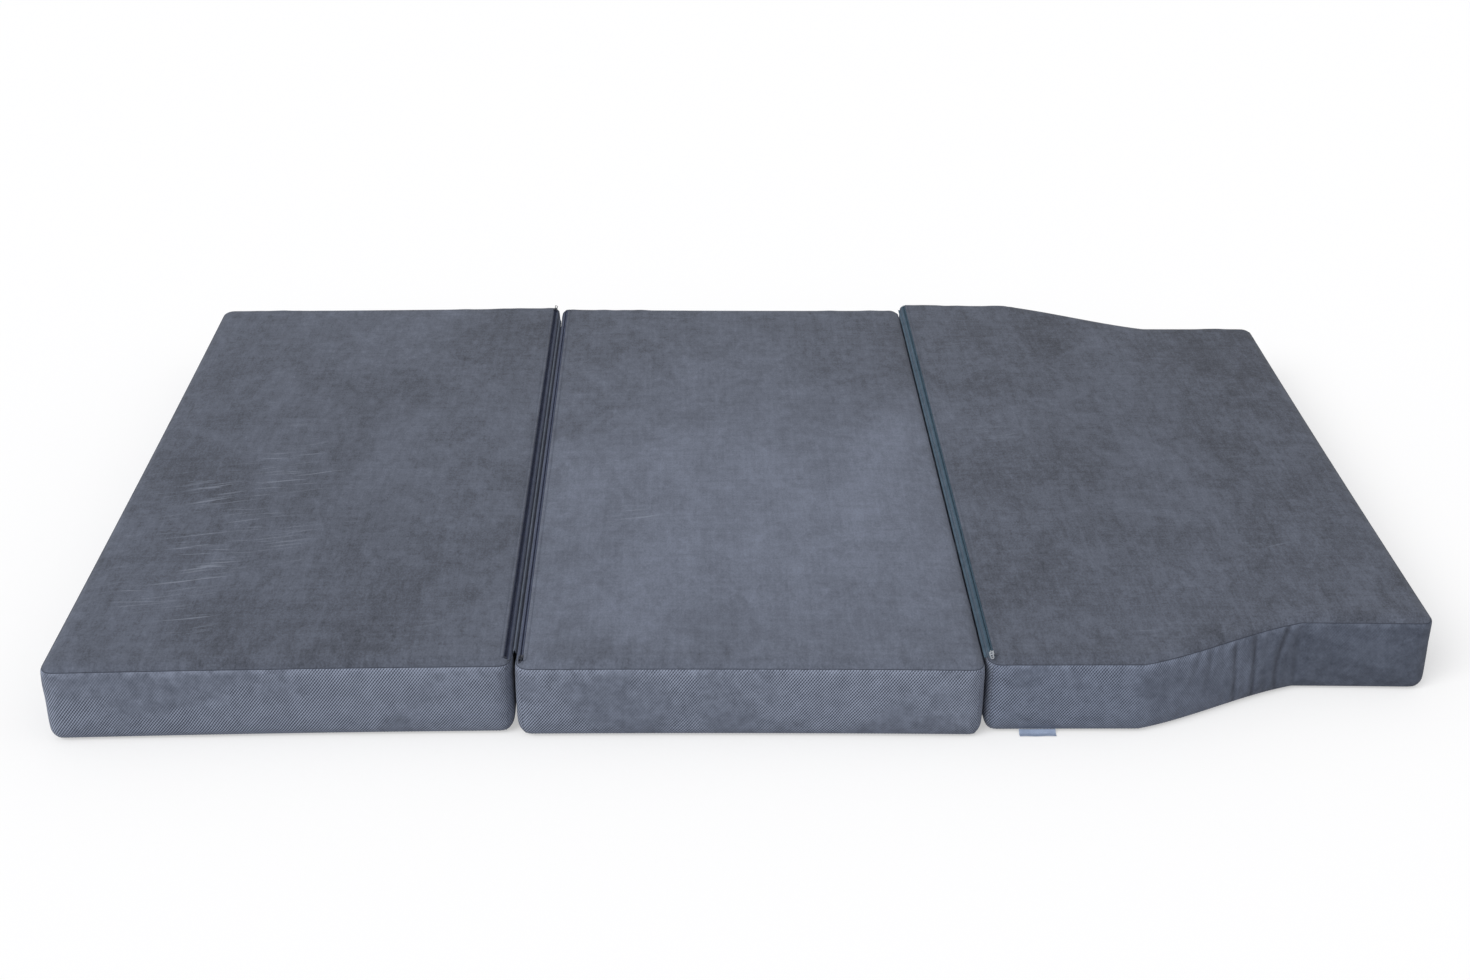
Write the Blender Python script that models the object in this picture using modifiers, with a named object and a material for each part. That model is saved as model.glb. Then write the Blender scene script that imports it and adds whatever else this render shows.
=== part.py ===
"""A folding foam mattress lying flat: three panels in zipped covers, joined by two cloth hinges.

X runs along the mattress, Y across it, away from the front, and Z up. The origin is the middle of
the middle panel's underside. Lengths are in metres and angles in radians.
"""

import math

import bmesh
import bpy
from mathutils import Matrix, Vector

# Driving sizes of the panels.
PANEL_HEIGHT = 0.117
PANEL_WIDTH = 1.261
RIGHT_PANEL_WIDTH = 1.275
LEFT_LENGTH = 0.626
MIDDLE_LENGTH = 0.630
RIGHT_LENGTH = 0.637
LEFT_GAP = 0.004
RIGHT_GAP = 0.003

# How the soft panels lie: how far back from the middle one, and how much further at the right end.
LEFT_SET_BACK = 0.009
RIGHT_SET_BACK = 0.008
LEFT_SKEW = 0.009
MIDDLE_SKEW = -0.011
RIGHT_SKEW = -0.013

# The right panel's outline: a wide stretch, a taper on both long sides, and a narrow stretch.
WIDE_LENGTH = 0.205
TAPER_LENGTH = 0.240
NARROWING = 0.111
TAPER_STAGGER = 0.007
TAPER_SHARES = (0.2, 0.5, 0.8)
TAPER_SOFTNESS = 0.3

# The panels' soft form.
CORNER_ROUND = 0.020
RIGHT_FOLD_ROUND = 0.018
TOP_ROUND = 0.012
BOTTOM_ROUND = 0.018
CROWN = 0.004
DRAW_IN = 0.002
ACROSS_SHARES = (0.08, 0.26, 0.5, 0.74, 0.92)
ALONG_SHARES = (0.1, 0.3, 0.5, 0.7, 0.9)
DOME_POWER = 4
HALF_ROUND_SHARE = math.tan(math.pi / 8)
FLAT_ENOUGH = math.radians(0.05)
SMOOTH_BELOW = math.radians(40)

# The covers' fabric and seams, and the foam inside.
COVER_THICKNESS = 0.0015
SEAM_CLEARANCE = 0.0003
CORNER_SEAM_CLEARANCE = 0.0008
TOP_SEAM_SHARE = 7 / 12
TOP_SEAM_DROP = TOP_ROUND * TOP_SEAM_SHARE
BASE_SEAM_HEIGHT = 0.005
CORNER_SEAM_SHARE = 0.4
CORE_CLEARANCE = 0.0009
CORE_SEAT_CLEARANCE = 0.0005

# The zips, each set into the shoulder next to a fold: its place, then sizes across it.
ZIP_LEAN = math.radians(35)
ZIP_END_INSET = 0.014
SLOT_CLEARANCE = 0.0007
FIT_CLEARANCE = 0.0003
ROW_GAP = 0.0012
ROW_WIDTH = 0.0016
ROW_HEIGHT = 0.0020
ROW_TOP = 0.0008
TAPE_WIDTH = 0.0019
TAPE_THICKNESS = 0.0008
TAPE_TOP = -0.0001
STOP_LENGTH = 0.0025
STOP_PROUD = 0.0002

# The sliders and their pulls.
SLIDER_LENGTH = 0.009
PLATE_THICKNESS = 0.0010
FLANGE_WIDTH = 0.0009
FLANGE_BOTTOM = 0.0002
DIVIDER_WIDTH = 0.0006
DIVIDER_LENGTH = 0.002
BAIL_LENGTH = 0.006
BAIL_WIDTH = 0.0012
BAIL_THICKNESS = 0.0008
BAIL_OPENING = 0.0018
CORE_CHAMFER_CLEARANCE = 0.0007
PULL_THICKNESS = 0.0008
PULL_BAR = 0.0010
PULL_ARM = 0.0009
PULL_NECK_LENGTH = 0.0044
PULL_LENGTH = 0.016
PULL_HALF_WIDTH = 0.0026
PULL_RIM = 0.0012
PULL_END_STEPS = 6

# The cloth hinges between the panels, and the label sewn into the right panel's base seam.
HINGE_THICKNESS = 0.0012
TOP_HINGE_DROP = 0.008
BOTTOM_HINGE_HEIGHT = 0.0034
HINGE_END_INSET = 0.050
FOLD_CLEARANCE = 0.0005
LABEL_START = 0.049
LABEL_WIDTH = 0.050
LABEL_REACH = 0.006
LABEL_LANDING = 0.0005
LABEL_THICKNESS = 0.0006
FLOOR_CLEARANCE = 0.0003

# Finishes: base colour, roughness and metallic value.
FINISHES = {
    "suede_top": ((0.122, 0.133, 0.165), 0.92, 0.0),
    "woven_side": ((0.150, 0.170, 0.217), 0.90, 0.0),
    "woven_base": ((0.110, 0.122, 0.155), 0.92, 0.0),
    "foam": ((0.760, 0.690, 0.500), 0.95, 0.0),
    "navy_zip": ((0.026, 0.032, 0.058), 0.60, 0.0),
    "teal_zip": ((0.048, 0.084, 0.114), 0.60, 0.0),
    "silver_metal": ((0.620, 0.640, 0.660), 0.25, 1.0),
    "dark_metal": ((0.060, 0.065, 0.080), 0.40, 1.0),
    "hinge_cloth": ((0.170, 0.195, 0.240), 0.90, 0.0),
    "label_cloth": ((0.300, 0.360, 0.420), 0.75, 0.0),
}

LEFT, RIGHT = -1, 1


class Panel:
    """One panel's place and size. zip_side is the end with its zip, and free_end one that nothing joins."""

    def __init__(self, name, start, length, middle, width, skew):
        self.name = name
        self.start = start
        self.end = start + length
        self.middle = middle
        self.width = width
        self.front = middle - width / 2
        self.back = middle + width / 2
        self.skew = skew
        self.zip_side = LEFT
        self.free_end = None
        self.left_round = CORNER_ROUND
        self.right_round = CORNER_ROUND
        self.narrowing = 0
        self.stagger = 0
        self.frame = None
        self.pivot = Vector()

    def lean(self, x):
        """How far the skewed panel lies back at a place along it, against its middle."""
        centre = (self.start + self.end) / 2
        return self.skew * (x - centre) / (self.end - self.start)

    def zip_round(self):
        return self.right_round if self.zip_side == RIGHT else self.left_round


def make_panels():
    middle_start = -MIDDLE_LENGTH / 2
    middle_end = MIDDLE_LENGTH / 2
    left_start = middle_start - LEFT_GAP - LEFT_LENGTH
    right_start = middle_end + RIGHT_GAP
    left = Panel("left", left_start, LEFT_LENGTH, LEFT_SET_BACK, PANEL_WIDTH, LEFT_SKEW)
    left.zip_side = RIGHT
    left.free_end = LEFT
    middle = Panel("middle", middle_start, MIDDLE_LENGTH, 0, PANEL_WIDTH, MIDDLE_SKEW)
    middle.right_round = RIGHT_FOLD_ROUND
    right = Panel(
        "right", right_start, RIGHT_LENGTH, RIGHT_SET_BACK, RIGHT_PANEL_WIDTH, RIGHT_SKEW
    )
    right.free_end = RIGHT
    right.left_round = RIGHT_FOLD_ROUND
    right.narrowing = NARROWING
    right.stagger = TAPER_STAGGER
    return left, middle, right


def clear_scene():
    for obj in list(bpy.data.objects):
        bpy.data.objects.remove(obj, do_unlink=True)


def make_collection(name):
    collection = bpy.data.collections.new(name)
    bpy.context.scene.collection.children.link(collection)
    return collection


def make_material(name, colour, roughness, metallic):
    material = bpy.data.materials.new(name)
    material.use_nodes = True
    shader = material.node_tree.nodes["Principled BSDF"]
    shader.inputs["Base Color"].default_value = (*colour, 1)
    shader.inputs["Roughness"].default_value = roughness
    shader.inputs["Metallic"].default_value = metallic
    return material


def add_object(name, data, collection, finish, parent, place):
    """A piece with its own material, at a place given in its parent's frame."""
    obj = bpy.data.objects.new(name, data)
    collection.objects.link(obj)
    data.materials.append(make_material(name + "_finish", *FINISHES[finish]))
    obj.parent = parent
    obj.matrix_local = place
    return obj


def clamp(value, low, high):
    return min(max(value, low), high)


def dome(share):
    """One in the middle and zero at both ends, flat over most of the way."""
    return 1 - abs(2 * share - 1) ** DOME_POWER


def bow(share):
    """One in the middle and zero at both ends, as a plain curve."""
    return 1 - (2 * share - 1) ** 2


def taper_share(panel, x):
    """How much of the narrowing is done at a place along the panel, with soft bends at both ends."""
    share = clamp((x - panel.start - WIDE_LENGTH) / TAPER_LENGTH, 0, 1)
    soft = share * share * (3 - 2 * share)
    return share + TAPER_SOFTNESS * (soft - share)


def round_inset(distance, wide, high):
    """How far in from the wall a round lies, at a distance in from the face that it runs into."""
    return wide * (1 - math.sqrt(1 - ((high - distance) / high) ** 2))


def stations(low, high, low_round, high_round, inner):
    """Where planes cut a box along one axis, so that its strips can follow its rounds."""
    return (
        low + low_round * (1 - HALF_ROUND_SHARE),
        low + low_round,
        *inner,
        high - high_round,
        high - high_round * (1 - HALF_ROUND_SHARE),
    )


def along_stations(panel, low, high):
    """The inner planes along the panel: at the taper's bends, or at even shares of its flat part."""
    if panel.narrowing:
        bend = panel.start + WIDE_LENGTH
        return (bend, *(bend + share * TAPER_LENGTH for share in TAPER_SHARES), bend + TAPER_LENGTH)
    return tuple(low + share * (high - low) for share in ALONG_SHARES)


def cut(bm, point, normal, clear=False):
    """Cuts a surface along a plane, and clears what lies on the normal's side where asked."""
    bmesh.ops.bisect_plane(
        bm,
        geom=bm.verts[:] + bm.edges[:] + bm.faces[:],
        plane_co=point,
        plane_no=normal,
        clear_outer=clear,
    )


def rounded(point, low, high, low_round, high_round):
    """Moves a point of a box's surface onto the rounded box within it."""
    nearest = Vector(
        clamp(point[axis], low[axis] + low_round[axis], high[axis] - high_round[axis])
        for axis in range(3)
    )
    away = point - nearest
    rounds = [low_round[axis] if away[axis] < 0 else high_round[axis] for axis in range(3)]
    unit = Vector(away[axis] / rounds[axis] for axis in range(3))
    if unit.length > 0:
        unit.normalize()
    return nearest + Vector(unit[axis] * rounds[axis] for axis in range(3))


def swelled(point, panel, low, high, low_round, high_round):
    """Gives a rounded point the panel's crown, drawn-in sides, skew and taper."""
    flat_low = low + low_round
    flat_high = high - high_round
    along = clamp((point.x - flat_low.x) / (flat_high.x - flat_low.x), 0, 1)
    across = clamp((point.y - flat_low.y) / (flat_high.y - flat_low.y), 0, 1)
    lift = clamp((point.z - flat_high.z) / high_round.z, 0, 1)
    side = (point.y - panel.middle) / ((high.y - low.y) / 2)
    x, y, z = point
    z += CROWN * dome(along) * dome(across) * lift
    y -= DRAW_IN * bow(along) * side
    if panel.free_end == LEFT:
        x += DRAW_IN * bow(across) * (high.x - point.x) / (high.x - low.x)
    if panel.free_end == RIGHT:
        x -= DRAW_IN * bow(across) * (point.x - low.x) / (high.x - low.x)
    y += panel.lean(point.x) - panel.narrowing * taper_share(panel, point.x) * side
    x -= panel.stagger * side * dome(along)
    return Vector((x, y, z))


def panel_form(panel, inset, seat):
    """The panel's soft form as a closed surface, drawn in by an inset and lifted to a seat."""
    low = Vector((panel.start + inset, panel.front + inset, seat))
    high = Vector((panel.end - inset, panel.back - inset, PANEL_HEIGHT - inset))
    low_round = Vector((panel.left_round - inset, CORNER_ROUND - inset, BOTTOM_ROUND - seat))
    high_round = Vector((panel.right_round - inset, CORNER_ROUND - inset, TOP_ROUND - inset))
    flat_low = low + low_round
    flat_high = high - high_round
    inner = (
        along_stations(panel, flat_low.x, flat_high.x),
        tuple(flat_low.y + share * (flat_high.y - flat_low.y) for share in ACROSS_SHARES),
        (),
    )
    bm = bmesh.new()
    box = Matrix.Translation((low + high) / 2) @ Matrix.Diagonal((*(high - low), 1))
    bmesh.ops.create_cube(bm, size=1, matrix=box)
    for axis in range(3):
        normal = Vector((axis == 0, axis == 1, axis == 2))
        planes = stations(low[axis], high[axis], low_round[axis], high_round[axis], inner[axis])
        for plane in planes:
            cut(bm, normal * plane, normal)
    for vert in bm.verts:
        point = rounded(vert.co, low, high, low_round, high_round)
        vert.co = swelled(point, panel, low, high, low_round, high_round)
    bmesh.ops.recalc_face_normals(bm, faces=bm.faces)
    return bm


def finish_mesh(bm, name, panel):
    """Joins faces that lie flat together, and gives a mesh in the panel's own frame."""
    bmesh.ops.dissolve_limit(bm, angle_limit=FLAT_ENOUGH, verts=bm.verts, edges=bm.edges)
    bmesh.ops.translate(bm, verts=bm.verts, vec=-panel.pivot)
    mesh = bpy.data.meshes.new(name)
    bm.to_mesh(mesh)
    bm.free()
    mesh.shade_smooth()
    mesh.set_sharp_from_angle(angle=SMOOTH_BELOW)
    return mesh


def add_fabric(bm, name, panel, collection, finish):
    """A cover piece: a stretch of the panel's surface, thickened inwards."""
    mesh = finish_mesh(bm, name, panel)
    obj = add_object(name, mesh, collection, finish, panel.frame, Matrix())
    wall = obj.modifiers.new("cloth", "SOLIDIFY")
    wall.thickness = COVER_THICKNESS
    wall.offset = -1
    wall.use_even_offset = True
    return obj


def zip_place(panel):
    """The zip's frame on the panel's shoulder: X across it towards the fold, Y along it, Z out of it."""
    wall = panel.end if panel.zip_side == RIGHT else panel.start
    inwards = panel.zip_round() * (1 - math.sin(ZIP_LEAN))
    drop = TOP_ROUND * (1 - math.cos(ZIP_LEAN))
    tilt = math.atan(TOP_ROUND / panel.zip_round() * math.tan(ZIP_LEAN))
    along = wall - panel.zip_side * inwards
    origin = (along, panel.middle + panel.lean(along), PANEL_HEIGHT - drop)
    turn = Matrix.Rotation(0 if panel.zip_side == RIGHT else math.pi, 4, "Z")
    return Matrix.Translation(origin) @ turn @ Matrix.Rotation(tilt, 4, "Y")


def slot_half_length(panel):
    return panel.width / 2 - ZIP_END_INSET


def tape_inner():
    return ROW_GAP / 2 + ROW_WIDTH + FIT_CLEARANCE


def slot_half_width():
    return tape_inner() + TAPE_WIDTH + SLOT_CLEARANCE


def slider_bottom():
    return ROW_TOP - ROW_HEIGHT - FIT_CLEARANCE - PLATE_THICKNESS


def cut_slot(bm, panel):
    """Opens the zip's slot in the shoulder."""
    place = zip_place(panel)
    half_width = slot_half_width()
    half_length = slot_half_length(panel)
    across = place.to_3x3() @ Vector((1, 0, 0))
    lengthways = place.to_3x3() @ Vector((0, 1, 0))
    for side in (LEFT, RIGHT):
        cut(bm, place @ Vector((side * half_width, 0, 0)), across)
        cut(bm, place @ Vector((0, side * half_length, 0)), lengthways)
    back_to_slot = place.inverted()
    inside = []
    for face in bm.faces:
        point = back_to_slot @ face.calc_center_median()
        near = abs(point.x) < half_width and abs(point.y) < half_length and abs(point.z) < TOP_ROUND
        if near:
            inside.append(face)
    bmesh.ops.delete(bm, geom=inside, context="FACES")


def add_cover_top(panel, collection):
    bm = panel_form(panel, 0, 0)
    seam = PANEL_HEIGHT - TOP_SEAM_DROP + SEAM_CLEARANCE / 2
    cut(bm, Vector((0, 0, seam)), Vector((0, 0, -1)), clear=True)
    cut_slot(bm, panel)
    add_fabric(bm, panel.name + "_cover_top", panel, collection, "suede_top")


def add_cover_base(panel, collection):
    bm = panel_form(panel, 0, 0)
    seam = BASE_SEAM_HEIGHT - SEAM_CLEARANCE / 2
    cut(bm, Vector((0, 0, seam)), Vector((0, 0, 1)), clear=True)
    add_fabric(bm, panel.name + "_cover_base", panel, collection, "woven_base")


def side_surface(panel):
    """The panel's surface between its top seam and its base seam."""
    bm = panel_form(panel, 0, 0)
    top = PANEL_HEIGHT - TOP_SEAM_DROP - SEAM_CLEARANCE / 2
    base = BASE_SEAM_HEIGHT + SEAM_CLEARANCE / 2
    cut(bm, Vector((0, 0, top)), Vector((0, 0, 1)), clear=True)
    cut(bm, Vector((0, 0, base)), Vector((0, 0, -1)), clear=True)
    return bm


def corner_seam(panel, side):
    """Where the upright corner seams lie along X, at the panel's left or right end."""
    if side == RIGHT:
        return panel.end - CORNER_SEAM_SHARE * panel.right_round
    return panel.start + CORNER_SEAM_SHARE * panel.left_round


def add_seam_wall(panel, side, collection):
    """The upright fabric that faces a fold, from one corner seam to the other."""
    bm = side_surface(panel)
    plane = corner_seam(panel, side) + side * CORNER_SEAM_CLEARANCE / 2
    cut(bm, Vector((plane, 0, 0)), Vector((-side, 0, 0)), clear=True)
    name = panel.name + ("_right_wall" if side == RIGHT else "_left_wall")
    add_fabric(bm, name, panel, collection, "woven_side")


def add_wrap_band(panel, collection):
    """The band round the three sides that face no fold."""
    bm = side_surface(panel)
    plane = corner_seam(panel, panel.zip_side) - panel.zip_side * CORNER_SEAM_CLEARANCE / 2
    cut(bm, Vector((plane, 0, 0)), Vector((panel.zip_side, 0, 0)), clear=True)
    add_fabric(bm, panel.name + "_side_band", panel, collection, "woven_side")


def add_straight_band(panel, name, towards, collection):
    """The middle panel's front or back band, between its corner seams."""
    bm = side_surface(panel)
    for side in (LEFT, RIGHT):
        plane = corner_seam(panel, side) - side * CORNER_SEAM_CLEARANCE / 2
        cut(bm, Vector((plane, 0, 0)), Vector((side, 0, 0)), clear=True)
    cut(bm, Vector((0, panel.middle, 0)), Vector((0, -towards, 0)), clear=True)
    add_fabric(bm, name, panel, collection, "woven_side")


def add_core(panel, collection):
    """The foam block, bevelled under the zip so that the slider's lower plate runs free."""
    inset = COVER_THICKNESS + CORE_CLEARANCE
    bm = panel_form(panel, inset, COVER_THICKNESS + CORE_SEAT_CLEARANCE)
    place = zip_place(panel)
    depth = slider_bottom() - CORE_CHAMFER_CLEARANCE
    found = bmesh.ops.bisect_plane(
        bm,
        geom=bm.verts[:] + bm.edges[:] + bm.faces[:],
        plane_co=place @ Vector((0, 0, depth)),
        plane_no=place.to_3x3() @ Vector((0, 0, 1)),
        clear_outer=True,
    )
    rim = [item for item in found["geom_cut"] if isinstance(item, bmesh.types.BMEdge)]
    bmesh.ops.holes_fill(bm, edges=rim)
    bmesh.ops.recalc_face_normals(bm, faces=bm.faces)
    name = panel.name + "_foam_core"
    mesh = finish_mesh(bm, name, panel)
    add_object(name, mesh, collection, "foam", panel.frame, Matrix())


def box_mesh(name, low, high):
    bm = bmesh.new()
    low = Vector(low)
    high = Vector(high)
    box = Matrix.Translation((low + high) / 2) @ Matrix.Diagonal((*(high - low), 1))
    bmesh.ops.create_cube(bm, size=1, matrix=box)
    mesh = bpy.data.meshes.new(name)
    bm.to_mesh(mesh)
    bm.free()
    return mesh


def joined_boxes(name, boxes, helpers):
    """One mesh from boxes that reach into each other."""
    objects = []
    for low, high in boxes:
        obj = bpy.data.objects.new(name + "_block", box_mesh(name + "_block", low, high))
        helpers.objects.link(obj)
        obj.hide_render = True
        obj.display_type = "WIRE"
        objects.append(obj)
    for other in objects[1:]:
        union = objects[0].modifiers.new("union", "BOOLEAN")
        union.operation = "UNION"
        union.object = other
    bpy.context.view_layer.update()
    graph = bpy.context.evaluated_depsgraph_get()
    mesh = bpy.data.meshes.new_from_object(objects[0].evaluated_get(graph))
    mesh.name = name
    for obj in objects:
        bpy.data.objects.remove(obj, do_unlink=True)
    return mesh


def slider_mesh(helpers):
    """The slider round both rows of teeth: two plates, two flanges, a divider, and a bail on top."""
    half_length = SLIDER_LENGTH / 2
    flange_inner = tape_inner()
    half_width = flange_inner + FLANGE_WIDTH
    plate_bottom = ROW_TOP + FIT_CLEARANCE
    plate_top = plate_bottom + PLATE_THICKNESS
    lower_top = ROW_TOP - ROW_HEIGHT - FIT_CLEARANCE
    middle_of_plate = (plate_bottom + plate_top) / 2
    middle_of_lower = (lower_top + slider_bottom()) / 2
    bail_under = plate_top + BAIL_OPENING
    bail_top = bail_under + BAIL_THICKNESS
    half_bail = BAIL_LENGTH / 2
    half_bail_width = BAIL_WIDTH / 2
    boxes = [
        ((-half_width, -half_length, plate_bottom), (half_width, half_length, plate_top)),
        ((-flange_inner, -half_length, slider_bottom()), (flange_inner, half_length, lower_top)),
        (
            (-DIVIDER_WIDTH / 2, half_length - DIVIDER_LENGTH, middle_of_lower),
            (DIVIDER_WIDTH / 2, half_length - PLATE_THICKNESS / 2, middle_of_plate),
        ),
        ((-half_bail_width, -half_bail, bail_under), (half_bail_width, half_bail, bail_top)),
    ]
    for side in (LEFT, RIGHT):
        across = sorted((side * flange_inner, side * half_width))
        lengthways = sorted((side * (half_bail - BAIL_THICKNESS), side * half_bail))
        boxes.append(
            (
                (across[0], -half_length, FLANGE_BOTTOM),
                (across[1], half_length, middle_of_plate),
            )
        )
        boxes.append(
            (
                (-half_bail_width, lengthways[0], middle_of_plate),
                (half_bail_width, lengthways[1], (bail_under + bail_top) / 2),
            )
        )
    return joined_boxes("slider", boxes, helpers)


def pull_axis_height():
    """The pull's axis above the zip's plane, half way up the bail's opening."""
    return ROW_TOP + FIT_CLEARANCE + PLATE_THICKNESS + BAIL_OPENING / 2


def add_spline(curve, points):
    spline = curve.splines.new("POLY")
    spline.points.add(len(points) - 1)
    for target, (x, y) in zip(spline.points, points):
        target.co = (x, y, 0, 1)
    spline.use_cyclic_u = True


def pull_curve():
    """The pull's flat outline: a bar through the bail, two arms and a long open loop."""
    bar = PULL_BAR / 2
    neck = BAIL_WIDTH / 2 + FIT_CLEARANCE
    arm = neck + PULL_ARM
    curve = bpy.data.curves.new("pull", "CURVE")
    curve.dimensions = "2D"
    curve.fill_mode = "BOTH"
    curve.extrude = PULL_THICKNESS / 2
    middle = PULL_LENGTH - PULL_HALF_WIDTH
    window = PULL_HALF_WIDTH - PULL_RIM
    steps = range(PULL_END_STEPS + 1)
    turns = [math.pi * step / PULL_END_STEPS for step in steps]
    outer = [(arm, -bar), (arm, PULL_NECK_LENGTH - PULL_BAR), (PULL_HALF_WIDTH, PULL_NECK_LENGTH)]
    outer += [(PULL_HALF_WIDTH * math.cos(t), middle + PULL_HALF_WIDTH * math.sin(t)) for t in turns]
    outer += [(-PULL_HALF_WIDTH, PULL_NECK_LENGTH), (-arm, PULL_NECK_LENGTH - PULL_BAR), (-arm, -bar)]
    loop_start = PULL_NECK_LENGTH + PULL_RIM
    loop = [(window, loop_start)]
    loop += [(window * math.cos(t), middle + window * math.sin(t)) for t in turns]
    loop += [(-window, loop_start)]
    opening_end = PULL_NECK_LENGTH - PULL_BAR / 2
    opening = [(neck, bar), (neck, opening_end), (-neck, opening_end), (-neck, bar)]
    add_spline(curve, outer)
    add_spline(curve, loop)
    add_spline(curve, opening)
    return curve


def add_zip(panel, collection, helpers, zip_finish, slider_finish):
    """A closed zip: two tapes, two rows of teeth, an end stop at each end, a slider and its pull."""
    place = Matrix.Translation(-panel.pivot) @ zip_place(panel)
    tape_half = slot_half_length(panel) - FIT_CLEARANCE
    row_half = tape_half - STOP_LENGTH - FIT_CLEARANCE
    row_inner = ROW_GAP / 2
    row_outer = row_inner + ROW_WIDTH
    tape_outer = tape_inner() + TAPE_WIDTH
    prefix = panel.name + "_zip_"
    for side, word in ((LEFT, "inner"), (RIGHT, "outer")):
        tape = sorted((side * tape_inner(), side * tape_outer))
        row = sorted((side * row_inner, side * row_outer))
        boxes = (
            ("tape_" + word, tape, tape_half, TAPE_TOP - TAPE_THICKNESS, TAPE_TOP),
            ("teeth_" + word, row, row_half, ROW_TOP - ROW_HEIGHT, ROW_TOP),
        )
        for name, across, half, bottom, top in boxes:
            mesh = box_mesh(prefix + name, (across[0], -half, bottom), (across[1], half, top))
            add_object(prefix + name, mesh, collection, zip_finish, panel.frame, place)
    stop_low = (-row_outer, -STOP_LENGTH / 2, ROW_TOP - ROW_HEIGHT)
    stop_high = (row_outer, STOP_LENGTH / 2, ROW_TOP + STOP_PROUD)
    stop_middle = tape_half - STOP_LENGTH / 2
    for side, word in ((LEFT, "bottom_stop"), (RIGHT, "top_stop")):
        at_end = place @ Matrix.Translation((0, side * stop_middle, 0))
        mesh = box_mesh(prefix + word, stop_low, stop_high)
        add_object(prefix + word, mesh, collection, slider_finish, panel.frame, at_end)
    closed = place @ Matrix.Translation((0, row_half - SLIDER_LENGTH / 2, 0))
    slider = add_object(
        prefix + "slider", slider_mesh(helpers), collection, slider_finish, panel.frame, closed
    )
    on_bail = Matrix.Translation((0, 0, pull_axis_height()))
    add_object(prefix + "pull", pull_curve(), collection, slider_finish, slider, on_bail)


def add_top_hinge(left, middle, collection):
    """The cloth between the left and middle panels' upper edges, on which the tops fold together."""
    top = PANEL_HEIGHT - TOP_HINGE_DROP
    bottom = top - HINGE_THICKNESS
    tuck = round_inset(TOP_HINGE_DROP + HINGE_THICKNESS, CORNER_ROUND, TOP_ROUND) - FIT_CLEARANCE
    half_length = PANEL_WIDTH / 2 - HINGE_END_INSET
    low = Vector((left.end - tuck, -half_length, bottom))
    high = Vector((middle.start + tuck, half_length, top))
    mesh = box_mesh("hinge_strip_top", low - left.pivot, high - left.pivot)
    add_object("hinge_strip_top", mesh, collection, "hinge_cloth", left.frame, Matrix())


def add_bottom_hinge(middle, right, collection):
    """The cloth between the middle and right panels' lower edges, on which the bases fold together."""
    top = BOTTOM_HINGE_HEIGHT + HINGE_THICKNESS
    tuck = round_inset(top, RIGHT_FOLD_ROUND, BOTTOM_ROUND) - FIT_CLEARANCE
    half_length = PANEL_WIDTH / 2 - HINGE_END_INSET
    low = Vector((middle.end - tuck, -half_length, BOTTOM_HINGE_HEIGHT))
    high = Vector((right.start + tuck, half_length, top))
    mesh = box_mesh("hinge_strip_bottom", low - middle.pivot, high - middle.pivot)
    add_object("hinge_strip_bottom", mesh, collection, "hinge_cloth", middle.frame, Matrix())


def add_label(panel, collection):
    """The blank cloth label, from the base seam down to the floor and out over it."""
    seam_inset = round_inset(BASE_SEAM_HEIGHT, CORNER_ROUND, BOTTOM_ROUND)
    floor = FLOOR_CLEARANCE + LABEL_THICKNESS
    start = panel.start + LABEL_START
    front = panel.front + panel.lean(start)
    profile = (
        (front + seam_inset - FIT_CLEARANCE, BASE_SEAM_HEIGHT),
        (front - LABEL_LANDING, floor),
        (front - LABEL_REACH, floor),
    )
    bm = bmesh.new()
    edges = []
    rows = [bm.verts.new(Vector((start, y, z)) - panel.pivot) for y, z in profile]
    for first, second in zip(rows, rows[1:]):
        edges.append(bm.edges.new((first, second)))
    swept = bmesh.ops.extrude_edge_only(bm, edges=edges)
    new = [item for item in swept["geom"] if isinstance(item, bmesh.types.BMVert)]
    bmesh.ops.translate(bm, verts=new, vec=Vector((LABEL_WIDTH, 0, 0)))
    for face in bm.faces:
        if face.normal.z < 0:
            face.normal_flip()
    mesh = bpy.data.meshes.new("label_tag")
    bm.to_mesh(mesh)
    bm.free()
    obj = add_object("label_tag", mesh, collection, "label_cloth", panel.frame, Matrix())
    cloth = obj.modifiers.new("cloth", "SOLIDIFY")
    cloth.thickness = LABEL_THICKNESS
    cloth.offset = -1
    cloth.use_even_offset = True


def add_frames(panels, collection):
    """An empty on each fold's axis. The middle panel turns on the left one, and the right on the middle."""
    left, middle, right = panels
    top_axis = PANEL_HEIGHT + CROWN + FOLD_CLEARANCE
    middle.pivot = Vector((left.end + LEFT_GAP / 2, 0, top_axis))
    right.pivot = Vector((middle.end + RIGHT_GAP / 2, 0, -FOLD_CLEARANCE))
    above = None
    for panel in panels:
        panel.frame = bpy.data.objects.new(panel.name + "_panel_frame", None)
        collection.objects.link(panel.frame)
        panel.frame.parent = above.frame if above else None
        panel.frame.location = panel.pivot - (above.pivot if above else Vector())
        above = panel


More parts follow.
